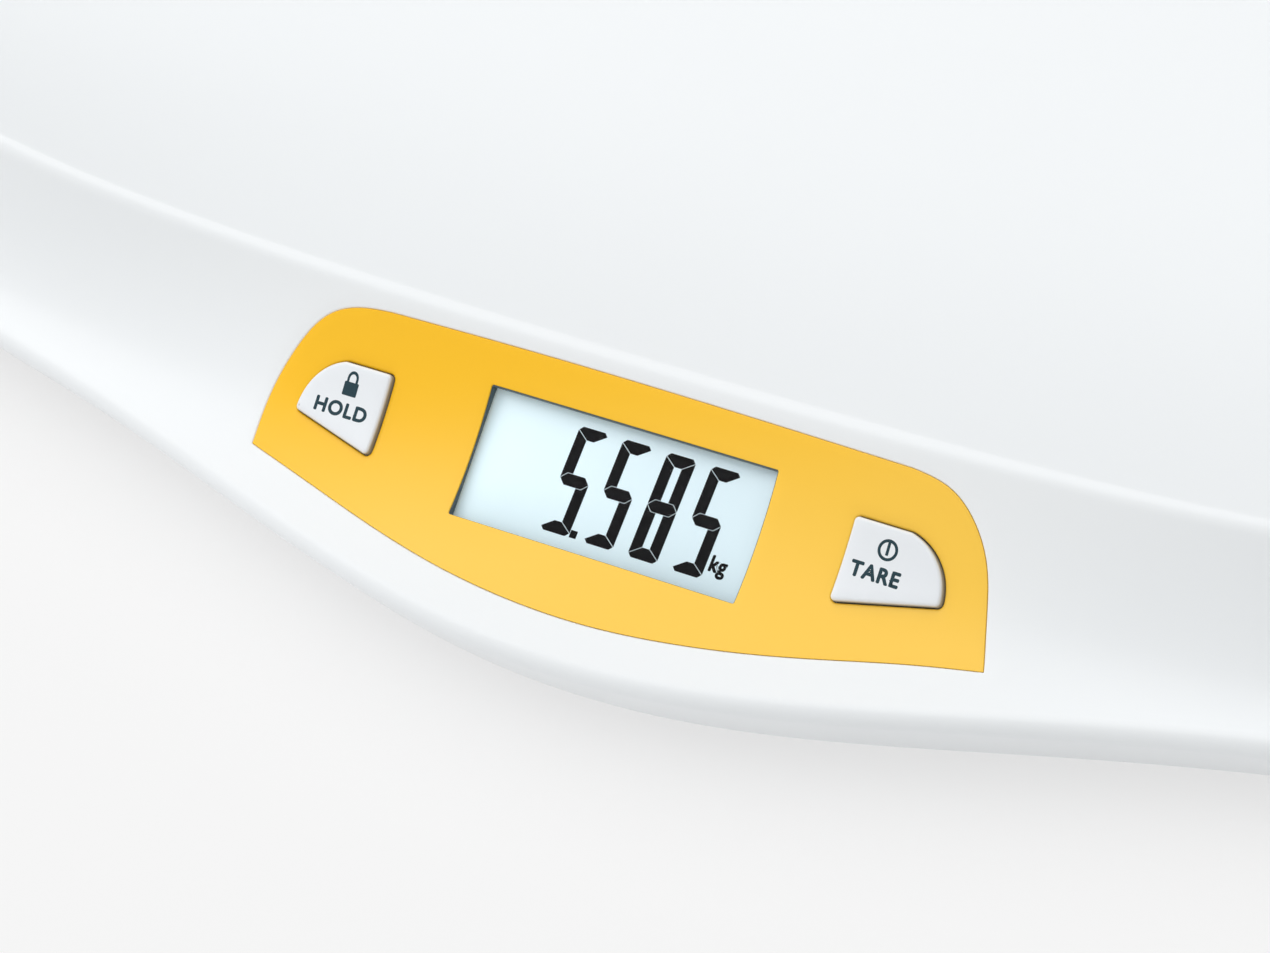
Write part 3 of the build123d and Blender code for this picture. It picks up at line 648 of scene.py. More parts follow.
class Finish(Nodes):
    """A material under construction, around one Principled shader."""

    def __init__(self, name):
        self.material = bpy.data.materials.new(name)
        self.material.use_nodes = True
        super().__init__(self.material.node_tree)
        self.shader = self.tree.nodes["Principled BSDF"]

    def place(self, stretch=(1.0, 1.0, 1.0)):
        """Object coordinates, stretched."""
        source = self.node("ShaderNodeTexCoord").outputs["Object"]
        return self.node("ShaderNodeMapping", None, Vector=source, Scale=stretch).outputs[0]

    def along(self, axis):
        """One object coordinate, in metres."""
        source = self.node("ShaderNodeTexCoord").outputs["Object"]
        return Level(self, self.node("ShaderNodeSeparateXYZ", None, source).outputs[axis])

    def noise(self, scale, detail=2.0, stretch=(1.0, 1.0, 1.0)):
        """Smooth noise from 0 to 1, at a number of waves per metre."""
        made = self.node(
            "ShaderNodeTexNoise", None, Vector=self.place(stretch), Scale=scale, Detail=detail
        )
        return Level(self, made.outputs[0])

    def mixed(self, share, first, second):
        """One colour turning into another."""
        node = self.node("ShaderNodeMix", {"data_type": "RGBA"})
        self.feed(node.inputs[0], share)
        self.feed(node.inputs[6], first)
        self.feed(node.inputs[7], second)
        return node.outputs[2]

    def bump(self, height, distance, strength=1.0, under=None):
        """A normal from a height between 0 and 1, a distance deep."""
        extra = {"Normal": under} if under is not None else {}
        made = self.node(
            "ShaderNodeBump", None, Height=height, Distance=distance, Strength=strength, **extra
        )
        return made.outputs[0]

    def set(self, **sockets):
        """Feeds the shader's sockets."""
        for key, value in sockets.items():
            self.feed(self.shader.inputs[key.replace("_", " ")], value)
        return self.material


def rgba(value, shade=1.0):
    """A colour property as a socket value, made lighter or darker."""
    return (*(min(1.0, channel * shade) for channel in value), 1.0)


def moulded(name, tint, roughness, grain_scale=900.0, grain_depth=0.00002, coat=0.0):
    """Moulded plastic: a fine grain, slow changes of gloss and a slight drift of colour."""
    finish = Finish(name)
    slow = finish.noise(14.0, 3.0)
    grain = finish.noise(grain_scale, 3.0)
    tone = finish.mixed(slow, rgba(tint, 0.97), rgba(tint, 1.03))
    return finish.set(
        Base_Color=tone,
        Roughness=slow * 0.08 + grain * 0.05 + (roughness - 0.065),
        Normal=finish.bump(grain, grain_depth, 0.6),
        Coat_Weight=coat,
        Coat_Roughness=0.08,
    )


def key_finish(form, tint):
    """White key: moulded plastic with painted shade, its walls greyed by the way they face, as if
    standing in the opening's shade.
    """
    finish = Finish("key_white")
    slow = finish.noise(14.0, 3.0)
    grain = finish.noise(2600.0, 3.0)
    top = finish.mixed(slow, rgba(tint, 0.988), rgba(tint, 1.012))
    # Painted shade: the further a surface turns from the console's normal, the greyer its colour,
    # so the walls look shaded.
    facing = finish.node(
        "ShaderNodeVectorMath",
        {"operation": "DOT_PRODUCT"},
        finish.node("ShaderNodeNewGeometry").outputs["Normal"],
        (0.0, -form.sin, form.cos),
    )
    wall = finish.between(Level(finish, facing.outputs["Value"]), 0.0, 0.8, 1.0, 0.0)
    return finish.set(
        Base_Color=finish.mixed(wall, top, rgba(tint, 0.42)),
        Roughness=slow * 0.08 + grain * 0.05 + 0.235,
        Normal=finish.bump(grain, 0.00001, 0.6),
        Coat_Roughness=0.08,
    )


def metal(name, tint, roughness, stretch=(1.0, 1.0, 1.0)):
    """Plated steel: brushed along the stretch, with duller patches."""
    finish = Finish(name)
    brushed = finish.noise(1400.0, 2.0, stretch)
    patches = finish.noise(160.0, 4.0)
    tone = finish.mixed(patches, rgba(tint, 0.82), rgba(tint, 1.06))
    return finish.set(
        Base_Color=tone,
        Metallic=1.0,
        Roughness=brushed * 0.14 + patches * 0.12 + (roughness - 0.13),
        Normal=finish.bump(brushed, 0.00002, 0.5),
    )


def rubber(name, tint):
    """Matt rubber: a fine pebble and dusty high spots."""
    finish = Finish(name)
    pebble = finish.noise(2400.0, 2.0)
    dust = finish.noise(90.0, 4.0)
    tone = finish.mixed(dust, rgba(tint, 0.8), rgba(tint, 1.6))
    return finish.set(
        Base_Color=tone,
        Roughness=dust * 0.15 + 0.7,
        Normal=finish.bump(pebble, 0.00004, 0.7),
    )


def insulation(name, tint):
    """A wire's sheath: glossy, with faint waves along it."""
    finish = Finish(name)
    wave = finish.noise(320.0, 2.0)
    tone = finish.mixed(wave, rgba(tint, 0.85), rgba(tint, 1.12))
    return finish.set(
        Base_Color=tone, Roughness=wave * 0.12 + 0.28, Normal=finish.bump(wave, 0.00003, 0.5)
    )


def circuit_board(name, tint):
    """Solder mask over copper: darker between straight tracks, with bare tinned spots."""
    finish = Finish(name)
    place = finish.place((1.0, 1.0, 1.0))
    tracks = finish.node(
        "ShaderNodeTexBrick", None, Vector=place, Scale=160.0, Color1=rgba((1, 1, 1)),
        Color2=rgba((0.4, 0.4, 0.4)), Mortar=rgba((0, 0, 0)),
    )
    tone = finish.mixed(tracks.outputs["Color"], rgba(tint, 0.6), rgba(tint, 1.7))
    weave = finish.noise(1500.0, 2.0)
    return finish.set(
        Base_Color=tone, Roughness=weave * 0.1 + 0.24, Normal=finish.bump(weave, 0.00002, 0.5)
    )


def shell_finish(tint):
    """Satin white shell: a very fine spark grain and a faint orange peel under a soft gloss."""
    finish = Finish("white_shell")
    slow = finish.noise(9.0, 2.0)
    peel = finish.noise(260.0, 2.0)
    grain = finish.noise(3200.0, 2.0)
    tone = finish.mixed(slow, rgba(tint, 0.985), rgba(tint, 1.01))
    peeled = finish.bump(peel, 0.00002, 0.25)
    return finish.set(
        Base_Color=tone,
        Roughness=slow * 0.06 + grain * 0.04 + 0.27,
        Normal=finish.bump(grain, 0.000008, 0.4, under=peeled),
    )


def cell_finish(tint):
    """The display cell: pale and cloudy, with painted light: lighter at its left end, darker
    towards its right, and a faint glow though it has no lamp.
    """
    finish = Finish("display_cell")
    cloud = finish.noise(28.0, 2.0)
    # Painted light: lighter at the left end, where the window's walls shade the recess, and darker
    # towards the right.
    across = finish.between(finish.along("X"), -0.032, 0.034)
    tone = finish.mixed((cloud * 0.3 + across * 0.7).clamped(), rgba(tint, 1.06), rgba(tint, 0.86))
    return finish.set(
        Base_Color=tone,
        Roughness=cloud * 0.05 + 0.3,
        # Painted light: the cell glows in its own colour, though the display has no lamp.
        Emission_Color=tone,
        Emission_Strength=0.2,
    )


def lens_finish():
    """The clear lens: almost invisible, with faint moulding waves."""
    finish = Finish("clear_lens")
    wave = finish.noise(60.0, 2.0)
    return finish.set(
        Base_Color=(0.02, 0.02, 0.02, 1.0),
        Roughness=wave * 0.03 + 0.03,
        Alpha=0.02,
        Normal=finish.bump(wave, 0.00002, 0.3),
    )


def trim_finish(tint):
    """Satin yellow trim: fine spark grain, a slow change of gloss and a painted reflection that
    makes its front edge paler.
    """
    finish = Finish("yellow_trim")
    slow = finish.noise(20.0, 2.0)
    grain = finish.noise(2600.0, 3.0)
    # Painted reflection: the colour turns paler towards the front edge, where a soft light's
    # reflection falls.
    front = finish.between(finish.along("X") * 0.32 - finish.along("Y"), 0.098, 0.138)
    pale = finish.mixed(front, rgba(tint), (1.0, 0.62, 0.075, 1.0))
    tone = finish.mixed(slow * 0.3, pale, rgba(tint, 1.03))
    return finish.set(
        Base_Color=tone,
        Roughness=slow * 0.06 + grain * 0.06 + 0.3,
        Specular_IOR_Level=0.4,
        Normal=finish.bump(grain, 0.00001, 0.4),
    )


def ink_and_shadow_finish(name, tint, gloss=0.5):
    """Printed ink, and the painted shadow in the display window: dense, with a slightly dull and
    uneven surface.
    """
    finish = Finish(name)
    patch = finish.noise(1800.0, 3.0)
    tone = finish.mixed(patch, rgba(tint, 0.85), rgba(tint, 1.15))
    return finish.set(
        Base_Color=tone,
        Roughness=patch * 0.1 + 0.38,
        Specular_IOR_Level=gloss,
        Normal=finish.bump(patch, 0.000006, 0.4),
    )


def floor_finish(tint):
    """Studio floor: matt and pale, shown to the camera with most of its own light."""
    finish = Finish("studio_floor")
    finish.set(Base_Color=rgba(tint), Roughness=0.9, Specular_IOR_Level=0.1)
    glow = finish.node("ShaderNodeEmission", None, Color=rgba(tint), Strength=1.0)
    share, shaded = finish.in_view() * FLOOR_GLOW, finish.shader.outputs[0]
    blend = finish.node("ShaderNodeMixShader", None, share, shaded, glow.outputs[0])
    finish.feed(finish.tree.nodes["Material Output"].inputs[0], blend.outputs[0])
    return finish.material


# Finishes of the CAD's own shapes: the finish, its name, its colour or the name of one in
# Colours, its other values and the nodes that wear it.
BASE = (
    (moulded, "base_plastic", "base", (0.5, 1100.0, 0.00006), ["lower_shell", "battery_door"]),
    (moulded, "unit_key_grey", (0.25, 0.27, 0.3), (0.4,), ["unit_button"]),
    (moulded, "foot_plastic", (0.62, 0.64, 0.66), (0.45,), [f"foot_{foot}" for foot in FEET]),
    (rubber, "foot_rubber", "rubber", (), [f"rubber_foot_{foot}" for foot in FEET]),
    (metal, "zinc_steel", "steel", (0.34,), ["housing_screws", "board_screws"]),
    (metal, "pin_steel", "steel", (0.25, (0.1, 1.0, 1.0)), ["door_hinge_pin"]),
)
SWITCHES = [f"{key}_switch{part}" for part in ("", "_stem") for key in ("hold", "tare", "unit")]
CELLS = [f"load_cell_{foot}" for foot in FEET]
HOLDERS = [f"load_cell_holder_{foot}" for foot in FEET]
LEADS = ["unit_lead", *(f"load_cell_lead_{foot}" for foot in FEET)]
WORKS = (
    (metal, "cell_steel", "steel", (0.3, (0.15, 1.0, 1.0)), CELLS),
    (moulded, "holder_plastic", (0.75, 0.76, 0.77), (0.45,), HOLDERS),
    (rubber, "potting_white", (0.78, 0.78, 0.75), (), ["gauge_pads"]),
    (circuit_board, "circuit_board", "board", (), ["main_board", "unit_board"]),
    (moulded, "epoxy_black", (0.01, 0.01, 0.012), (0.15,), ["controller_blob"]),
    (moulded, "capacitor_sleeve", (0.02, 0.03, 0.08), (0.25,), ["board_capacitor"]),
    (moulded, "dark_plastic", (0.03, 0.03, 0.032), (0.5,), ["display_frame"]),
    (rubber, "zebra_rubber", (0.09, 0.09, 0.1), (), ["zebra_strips"]),
    (moulded, "switch_black", (0.02, 0.02, 0.02), (0.45,), SWITCHES),
    (moulded, "snap_black", (0.015, 0.015, 0.015), (0.4,), ["battery_snap"]),
    (moulded, "battery_case", (0.07, 0.075, 0.085), (0.25, 900.0, 0.00002, 0.4), ["battery"]),
    (insulation, "wire_red", (0.5, 0.012, 0.012), (), ["battery_wire_red"]),
    (insulation, "wire_black", (0.015, 0.015, 0.015), (), ["battery_wire_black"]),
    (insulation, "lead_grey", (0.6, 0.6, 0.61), (), LEADS),
)


def dress(rows, colours):
    """Gives CAD nodes the finishes of a table."""
    for make, name, tint, values, nodes in rows:
        finish = make(name, getattr(colours, tint) if isinstance(tint, str) else tint, *values)
        for node in nodes:
            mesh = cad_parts[node].data
            mesh.materials.clear()
            mesh.materials.append(finish)


# ---- pieces ----


# Steps of the shell's grid: around the long and short sides, and then from the foot upwards.
LONG_STEPS, SHORT_STEPS = 150, 76
WALL_STEPS, ROLL_STEPS, BAND_STEPS, CREST_STEPS, BASIN_STEPS = 4, 11, 16, 8, 26
NUDGE = 1e-4  # step of the slopes next to the ridge
HEART = 0.42  # superellipse radius where the basin's rings give way to a fill
PATCH_REACH = 0.365  # share of the half length that the console's patch takes in the band
PATCH_CELL, POCKET_CELL, UNDER_CELL, HEART_CELL = 0.0028, 0.004, 0.006, 0.009
POCKET_STEP, OPENING_STEP = 0.0015, 0.0008
POCKET_EDGE = 0.0004


def around(form):
    """Places c and s around the unit superellipse, in equal steps of c and then of s."""
    reach = 0.5 ** (1 / form.tray.corner_power)
    long_side = reach * (2 * np.arange(LONG_STEPS) / LONG_STEPS - 1)
    short_side = reach * (2 * np.arange(SHORT_STEPS) / SHORT_STEPS - 1)
    front, end = form.other(long_side), form.other(short_side)
    c = np.concatenate([long_side, end, -long_side, -end])
    return c, np.concatenate([-front, short_side, front, -short_side])


def side_rows(form, c, s, skin):
    """The side wall and the rolled lip, at a depth inside the surface.

    Each row is the lip's plan moved out. The roll is at r sin a, r cos a from its centre, and
    the wall leans in below it by the tangent of its lean.
    """
    tray = form.tray
    radius, centre = tray.lip_radius - skin, tray.lip_height - tray.lip_radius
    turn = math.pi / 2 + tray.side_lean
    foot, lean = centre + radius * math.cos(turn), math.tan(tray.side_lean)
    wall = np.linspace(tray.underside, foot, WALL_STEPS + 1)[:-1]
    roll = np.linspace(turn, 0, ROLL_STEPS + 1)[:-1]
    out = np.concatenate([radius * math.sin(turn) - (foot - wall) * lean, radius * np.sin(roll)])
    level = np.concatenate([wall, centre + radius * np.cos(roll)])
    lip = np.stack(form.lip(c, s), -1)
    return [np.column_stack([inset(lip, -o), np.full(len(lip), z)]) for o, z in zip(out, level)]


def upper_rows(form, c, s):
    """The band, the rounded ridge and the basin, from the lip to the basin's heart.

    The ridge is cut back by r tan(half turn) on both slopes and rolled over between the cuts.
    """
    ridge = form.band(c, s, 1.0)
    rising = (ridge - form.band(c, s, 1 - NUDGE)) / NUDGE
    falling = (form.basin(c, s, 1 - NUDGE) - ridge) / NUDGE
    rising_length = np.linalg.norm(rising, axis=1)
    falling_length = np.linalg.norm(falling, axis=1)
    cosine = (rising * falling).sum(1) / rising_length / falling_length
    half_turn = np.arccos(np.clip(cosine, -1, 1)) / 2
    tangent = form.tray.ridge_radius * np.tan(half_turn)
    t_end, rho = 1 - tangent / rising_length, 1 - tangent / falling_length
    band = [form.band(c, s, t_end * share) for share in np.linspace(0, 1, BAND_STEPS + 1)]
    start, end, weight = band[-1], form.basin(c, s, rho), np.cos(half_turn)[:, None]
    shares = np.linspace(0, 1, CREST_STEPS + 1)[1:]
    crest = [rolled(start, ridge, end, weight, share) for share in shares]
    shares = np.linspace(0, 1, BASIN_STEPS + 1)[1:]
    return band + crest + [form.basin(c, s, rho + (HEART - rho) * share) for share in shares]


class SCALE_OT_shell(bpy.types.Operator):
    """Makes the white upper shell: side wall, rolled lip, band, ridge, basin and console pocket"""

    bl_idname = "scale.shell"
    bl_label = "Upper shell"

    def execute(self, context):
        form = TrayForm()
        tray, console = sizes()
        c, s = around(form)
        low_rows = side_rows(form, c, s, 0.0)
        rows = np.array(low_rows + upper_rows(form, c, s))
        normals = np.cross(np.roll(rows, -1, 1) - np.roll(rows, 1, 1), np.gradient(rows, axis=0))
        normals /= np.linalg.norm(normals, axis=2, keepdims=True)
        inner = rows - normals * tray.wall
        inner[: len(low_rows)] = side_rows(form, c, s, tray.wall)

        first, last = len(low_rows), len(low_rows) + BAND_STEPS
        left = int(np.argmin(np.abs(c[:LONG_STEPS] + PATCH_REACH)))
        right = LONG_STEPS - left
        quads = grid_quads(*rows.shape[:2])[..., [0, 3, 2, 1]]
        keep = np.ones(quads.shape[:2], bool)
        keep[first:last, left:right] = False
        quads = quads[keep]
        sheets = [
            (rows.reshape(-1, 3), quads),
            (inner.reshape(-1, 3), quads[:, ::-1]),
            strip([rows[0], inner[0]]),
        ]

        def patch_edge(grid):
            """The band's opening for the console, counterclockwise."""
            lower, rising = grid[first, left:right], grid[first:last, right]
            upper = grid[last, left + 1 : right + 1][::-1]
            falling = grid[first + 1 : last + 1, left][::-1]
            return np.concatenate([lower, rising, upper, falling])

        def patch(edge, holes, level, cell):
            """A fill on the band between the opening's own points and holes."""
            flat, faces = filled([form.to_console(edge), *holes], cell)
            lifted = form.lift(flat, level)
            lifted[: len(edge)] = edge
            return lifted, faces

        pocket = trim_outline(console.trim_gap, POCKET_STEP)
        lens_room = 2 * (console.key_gap + console.lens_overlap)
        openings = [around_window(console, lens_room, 0.0005, 0.002)[::-1]]
        for key in KEYS.values():
            openings.append(key_outline(**key, growth=console.key_gap, step=OPENING_STEP)[::-1])
        hole, pocket_floor = pocket[::-1], -console.trim_thickness
        sheets.append(patch(patch_edge(rows), [inset(hole, POCKET_EDGE)], 0.0, PATCH_CELL))
        edge = rolled_edge(hole, form.lift, 0.0, POCKET_EDGE)
        sheets.append(strip([*edge, form.lift(hole, pocket_floor)]))
        flat, faces = filled([pocket, *openings], POCKET_CELL)
        sheets.append((form.lift(flat, pocket_floor), faces))
        for opening in openings:
            sheets.append(strip([form.lift(opening, pocket_floor), form.lift(opening, -tray.wall)]))
        sheets.append(turned_over(patch(patch_edge(inner), openings, -tray.wall, UNDER_CELL)))

        for grid, depth, turn in ((rows, 0.0, 1), (inner, tray.wall, -1)):
            loop = grid[-1]
            flat, faces = filled([loop[:, :2]], HEART_CELL)
            lifted = np.column_stack([flat, form.basin_level(flat[:, 0], flat[:, 1]) - depth])
            lifted[: len(loop)] = loop
            sheets.append((lifted, faces[:, ::turn]))

        material = shell_finish(context.scene.scale_colours.shell)
        make_piece("upper_shell_skin", sheets, material, "scale", "white_shell", ["upper_shell"])
        return {"FINISHED"}


TRIM_STEP, TRIM_CELL = 0.0012, 0.0022
TRIM_FILL, KEY_FILL = 0.6, 0.7  # shares of the pocket's and the keys' gaps that the trim uses
WINDOW_ROOM = (0.0005, 0.0004)  # how much wider and deeper the trim's window is than the display
WINDOW_SHIFT = (-0.0003, 0.0003)
TRIM_EDGES = [0.00014, 0.0002, 0.00045, 0.00045]  # outside, window, then each key's opening
# A dark band of painted shadow down the window's walls: its width, its top under the trim's
# surface, and a shift of its inner edge that makes it widest along the top.
WINDOW_SHADOW, WINDOW_SHADOW_TOP, WINDOW_SHADOW_SHIFT = 0.00015, -0.00025, (0.0, 0.0001)


class SCALE_OT_trim(bpy.types.Operator):
    """Makes the yellow trim that carries the window and the openings for the keys"""

    bl_idname = "scale.trim"
    bl_label = "Display trim"

    def execute(self, context):
        form = TrayForm()
        console = sizes()[1]
        outline = trim_outline(TRIM_FILL * console.trim_gap, TRIM_STEP)
        window = around_window(console, WINDOW_ROOM, 0.0004, 0.001, WINDOW_SHIFT)
        holes = [key_outline(**key, growth=KEY_FILL * console.key_gap) for key in KEYS.values()]
        foot, low = -console.trim_thickness, -console.lens_setback
        sheets = plate([outline, window, *holes], form.lift, 0.0, foot, TRIM_EDGES, TRIM_CELL)
        rim, hole = around_window(console, 2 * console.window_rim, 0.0008, 0.001), window[::-1]
        sheets.append(strip([form.lift(hole, foot), form.level_at(hole, low)]))
        flat, faces = filled([rim, hole], 0.002)
        sheets.append((form.level_at(flat, low), faces[:, ::-1]))
        sheets.append(strip([form.lift(rim, foot), form.level_at(rim, low)]))
        finish, nodes = trim_finish(context.scene.scale_colours.trim), ["display_trim"]
        make_piece("trim_plate", sheets, finish, "scale", "yellow_trim", nodes, closed=False)
        # Painted shadow: a dark sheet down the window's walls and just inside them, where the
        # recess has only shade.
        inner = inset(window, WINDOW_SHADOW) - np.array(WINDOW_SHADOW_SHIFT)
        rows = [form.level_at(window, low), form.lift(window, WINDOW_SHADOW_TOP)]
        rows += [form.lift(inner, WINDOW_SHADOW_TOP), form.level_at(inner, low)]
        sheets = [strip([start, end]) for start, end in zip(rows, rows[1:] + rows[:1])]
        dark = ink_and_shadow_finish("window_liner", (0.05, 0.085, 0.1))
        make_piece("window_liner", sheets, dark, "scale", "dark_plastic")
        return {"FINISHED"}


def printed(name, regions, lift, top, foot, step, *piece):
    """Flat signs on a surface: each region is a plate between two levels."""
    sheets = []
    for loops in regions:
        sheets += plate(loops, lift, top, foot, [0.0] * len(loops), step)
    make_piece(name, sheets, *piece)


def area(loop):
    """The signed area in a loop: half the sum of its cross products."""
    after = np.roll(loop, -1, 0)
    return (loop[:, 0] * after[:, 1] - loop[:, 1] * after[:, 0]).sum() / 2


LETTER_SPACING = 1.12
CURVE_STEPS, KNOT_GAP = 6, 1e-3


def letter_loops(text):
    """The outlines of a word in the built-in sans letters, counterclockwise.

    Each is a chain of cubic curves between knots a and d with handles b and c:
    (1-t)^3 a + 3 t (1-t)^2 b + 3 t^2 (1-t) c + t^3 d.
    """
    curve = bpy.data.curves.new(text, "FONT")
    curve.body = text
    curve.space_character = LETTER_SPACING
    holder = bpy.data.objects.new(text, curve)
    bpy.context.scene.collection.objects.link(holder)
    outline = holder.to_curve(bpy.context.evaluated_depsgraph_get())
    t = np.linspace(0, 1, CURVE_STEPS, endpoint=False)[None, :, None]
    loops = []
    for spline in outline.splines:
        knots = [(knot.co, knot.handle_right, knot.handle_left) for knot in spline.bezier_points]
        a, b, c = np.moveaxis(np.array(knots)[..., :2], 1, 0)[:, :, None, :]
        c, d = np.roll(c, -1, 0), np.roll(a, -1, 0)
        run = (1 - t) ** 3 * a + 3 * t * (1 - t) ** 2 * b + 3 * t**2 * (1 - t) * c + t**3 * d
        loop = run.reshape(-1, 2)
        loop = loop[np.linalg.norm(loop - np.roll(loop, 1, 0), axis=1) > KNOT_GAP]
        loops.append(loop if area(loop) > 0 else loop[::-1])
    holder.to_curve_clear()
    bpy.data.objects.remove(holder)
    return loops


def word_regions(text, width, height, centre, weight, slant=0.0):
    """A word of a size around a centre: each letter with its holes, its strokes grown by weight."""
    loops = letter_loops(text)
    everything = np.concatenate(loops)
    low, high = everything.min(0), everything.max(0)
    scale = (np.array([width, height]) - 2 * weight) / (high - low)
    regions, holes = [], []
    for loop in loops:
        is_hole = any(inside(loop[:1], [other])[0] for other in loops if other is not loop)
        flat = (loop - (low + high) / 2) * scale
        flat = inset(flat, weight if is_hole else -weight)
        flat[:, 0] += flat[:, 1] * slant
        flat += np.array(centre)
        if is_hole:
            holes.append(flat)
        else:
            regions.append([flat])
    for region in regions:
        region += [hole for hole in holes if inside(hole[:1], region[:1])[0]]
    return regions


def padlock(centre, size):
    """A padlock in shares of its size: a block with a shackle over it, as flat regions."""
    x, y = centre
    block = rectangle(0.57 * size, 0.46 * size, 0.04 * size, 0.03 * size, (x, y - 0.23 * size))
    turn = np.linspace(0, math.pi, 15)
    foot = y - 0.02 * size
    mid = y + 0.12 * size

    def arch(radius):
        bow = np.stack([x + radius * np.cos(turn), mid + radius * 1.15 * np.sin(turn)], -1)
        return np.concatenate([[[x + radius, foot]], bow, [[x - radius, foot]]])

    outer, inner = arch(0.22 * size), arch(0.13 * size)
    return [[block], [np.concatenate([outer, inner[::-1]])]]


def power_sign(centre, radius, line):
    """A ring with an upright bar in it, as flat regions."""
    x, y = centre
    bar = rectangle(line, 1.25 * radius, line * 0.2, line * 0.5, (x, y + 0.12 * radius))
    return [[circle(radius, 48, centre), circle(radius - line, 40, centre)], [bar]]


CAP_CELL, FLANGE_CELL, POST_CELL, SIGN_CELL = 0.0016, 0.003, 0.001, 0.0005
FLANGE_DROP = 1.3  # a flange hangs this many key gaps under the shell
POST_RADIUS, POST_SHARE, POST_V, POST_FOOT = 0.002, 0.42, 0.0012, -0.0071
INK, SUNK = 0.00002, 0.00006
STROKE_GROWTH = 0.00016
# Each key's word, its length in letter heights and its centre, then its sign.
SIGNS = {
    "hold": ("HOLD", 4.1, (-0.0639, 0.0003), padlock((-0.0631, 0.006), 0.006)),
    "tare": ("TARE", 3.3, (0.0571, 0.0003), power_sign((0.0582, 0.0052), 0.00205, 0.00058)),
}


class SCALE_OT_keys(bpy.types.Operator):
    """Makes the two keys with their flanges and plungers, and the signs printed on them"""

    bl_idname = "scale.keys"
    bl_label = "Keys"

    def execute(self, context):
        form = TrayForm()
        tray, console = sizes()
        colours = context.scene.scale_colours
        plastic = key_finish(form, colours.key)
        ink = ink_and_shadow_finish("key_print", colours.lettering, 0.15)
        top, height = console.key_rise, console.lettering
        flange_top = -tray.wall - console.key_gap * FLANGE_DROP
        flange_foot = flange_top - console.key_flange_thickness
        for name, key in KEYS.items():
            cap, wide = key_outline(**key), key_outline(**key, growth=console.key_flange)
            sheets = plate([cap], form.lift, top, flange_foot, [console.key_edge], CAP_CELL)
            sheets += plate([wide], form.lift, flange_top, flange_foot, [0.0], FLANGE_CELL)
            middle = key["side"] * (key["inner"] + POST_SHARE * key["width"])
            post = circle(POST_RADIUS, 24, (middle, POST_V))
            sheets.append(strip([form.lift(post, flange_foot), form.level_at(post, POST_FOOT)]))
            flat, faces = filled([post], POST_CELL)
            sheets.append(turned_over((form.level_at(flat, POST_FOOT), faces)))
            body, nodes = f"{name}_key", [f"{name}_button"]
            make_piece(f"{name}_key_cap", sheets, plastic, body, "key_white", nodes, closed=False)
        for name, (word, length_share, centre, sign) in SIGNS.items():
            letters = word_regions(word, length_share * height, height, centre, STROKE_GROWTH)
            place = form.lift, top + INK, top - SUNK, SIGN_CELL
            printed(f"{name}_key_sign", letters + sign, *place, ink, f"{name}_key", "key_white")
        return {"FINISHED"}


DIGITS = "5585"
SLANT = 0.055
SEGMENT_GAP = 0.00009
SCREEN_SHIFT = (-0.0012, 0.0009)  # the display's signs from the window's upper left corner
# Places on the window, as shares of its width from the left and of its depth from the top.
DIGITS_AT, POINT_AT, UNIT_AT = (0.3035, 0.925), (0.4195, 0.894), (0.912, 0.81)
POINT_SIZE, UNIT_SIZE, UNIT_GROWTH = 0.0015, (0.0037, 0.0043), 0.00014
SHEET_EDGE, SHEET_GAP, SHEET_CELL, SEGMENT_CELL = 0.0001, 0.0001, 0.008, 0.003
SEGMENT_LIFT = 0.00005
SEGMENTS = {"5": "afgcd", "8": "abcdefg"}


def segment_loops(width, height, thick, gap):
    """The seven segments of a digit, as flat outlines from its lower left corner.

    The end ones are trapezia cut at 45 degrees and the middle one is a hexagon across the digit.
    The upright ones are one outline, mirrored in x, in y and in both.
    """
    w, h, t, g = width, height, thick, gap
    m, k, r = h / 2, t / 2, 0.3 * t
    top = [(g + r, h), (g, h - r), (t + g, h - t)]
    top += [(w - x, y) for x, y in top[::-1]]
    side = [(0, h - g - r), (0, m + g), (k, m + k + g), (t, m + k + g), (t, h - t - g)]
    half = [(w - k - g, m - k), (w - g, m), (w - k - g, m + k)]
    other_half = [(k + g, m + k), (g, m), (k + g, m - k)]
    return {
        "a": top,
        "b": [(w - x, y) for x, y in side],
        "c": [(w - x, h - y) for x, y in side],
        "d": [(x, h - y) for x, y in top],
        "e": [(x, h - y) for x, y in side],
        "f": side,
        "g": half + other_half,
    }


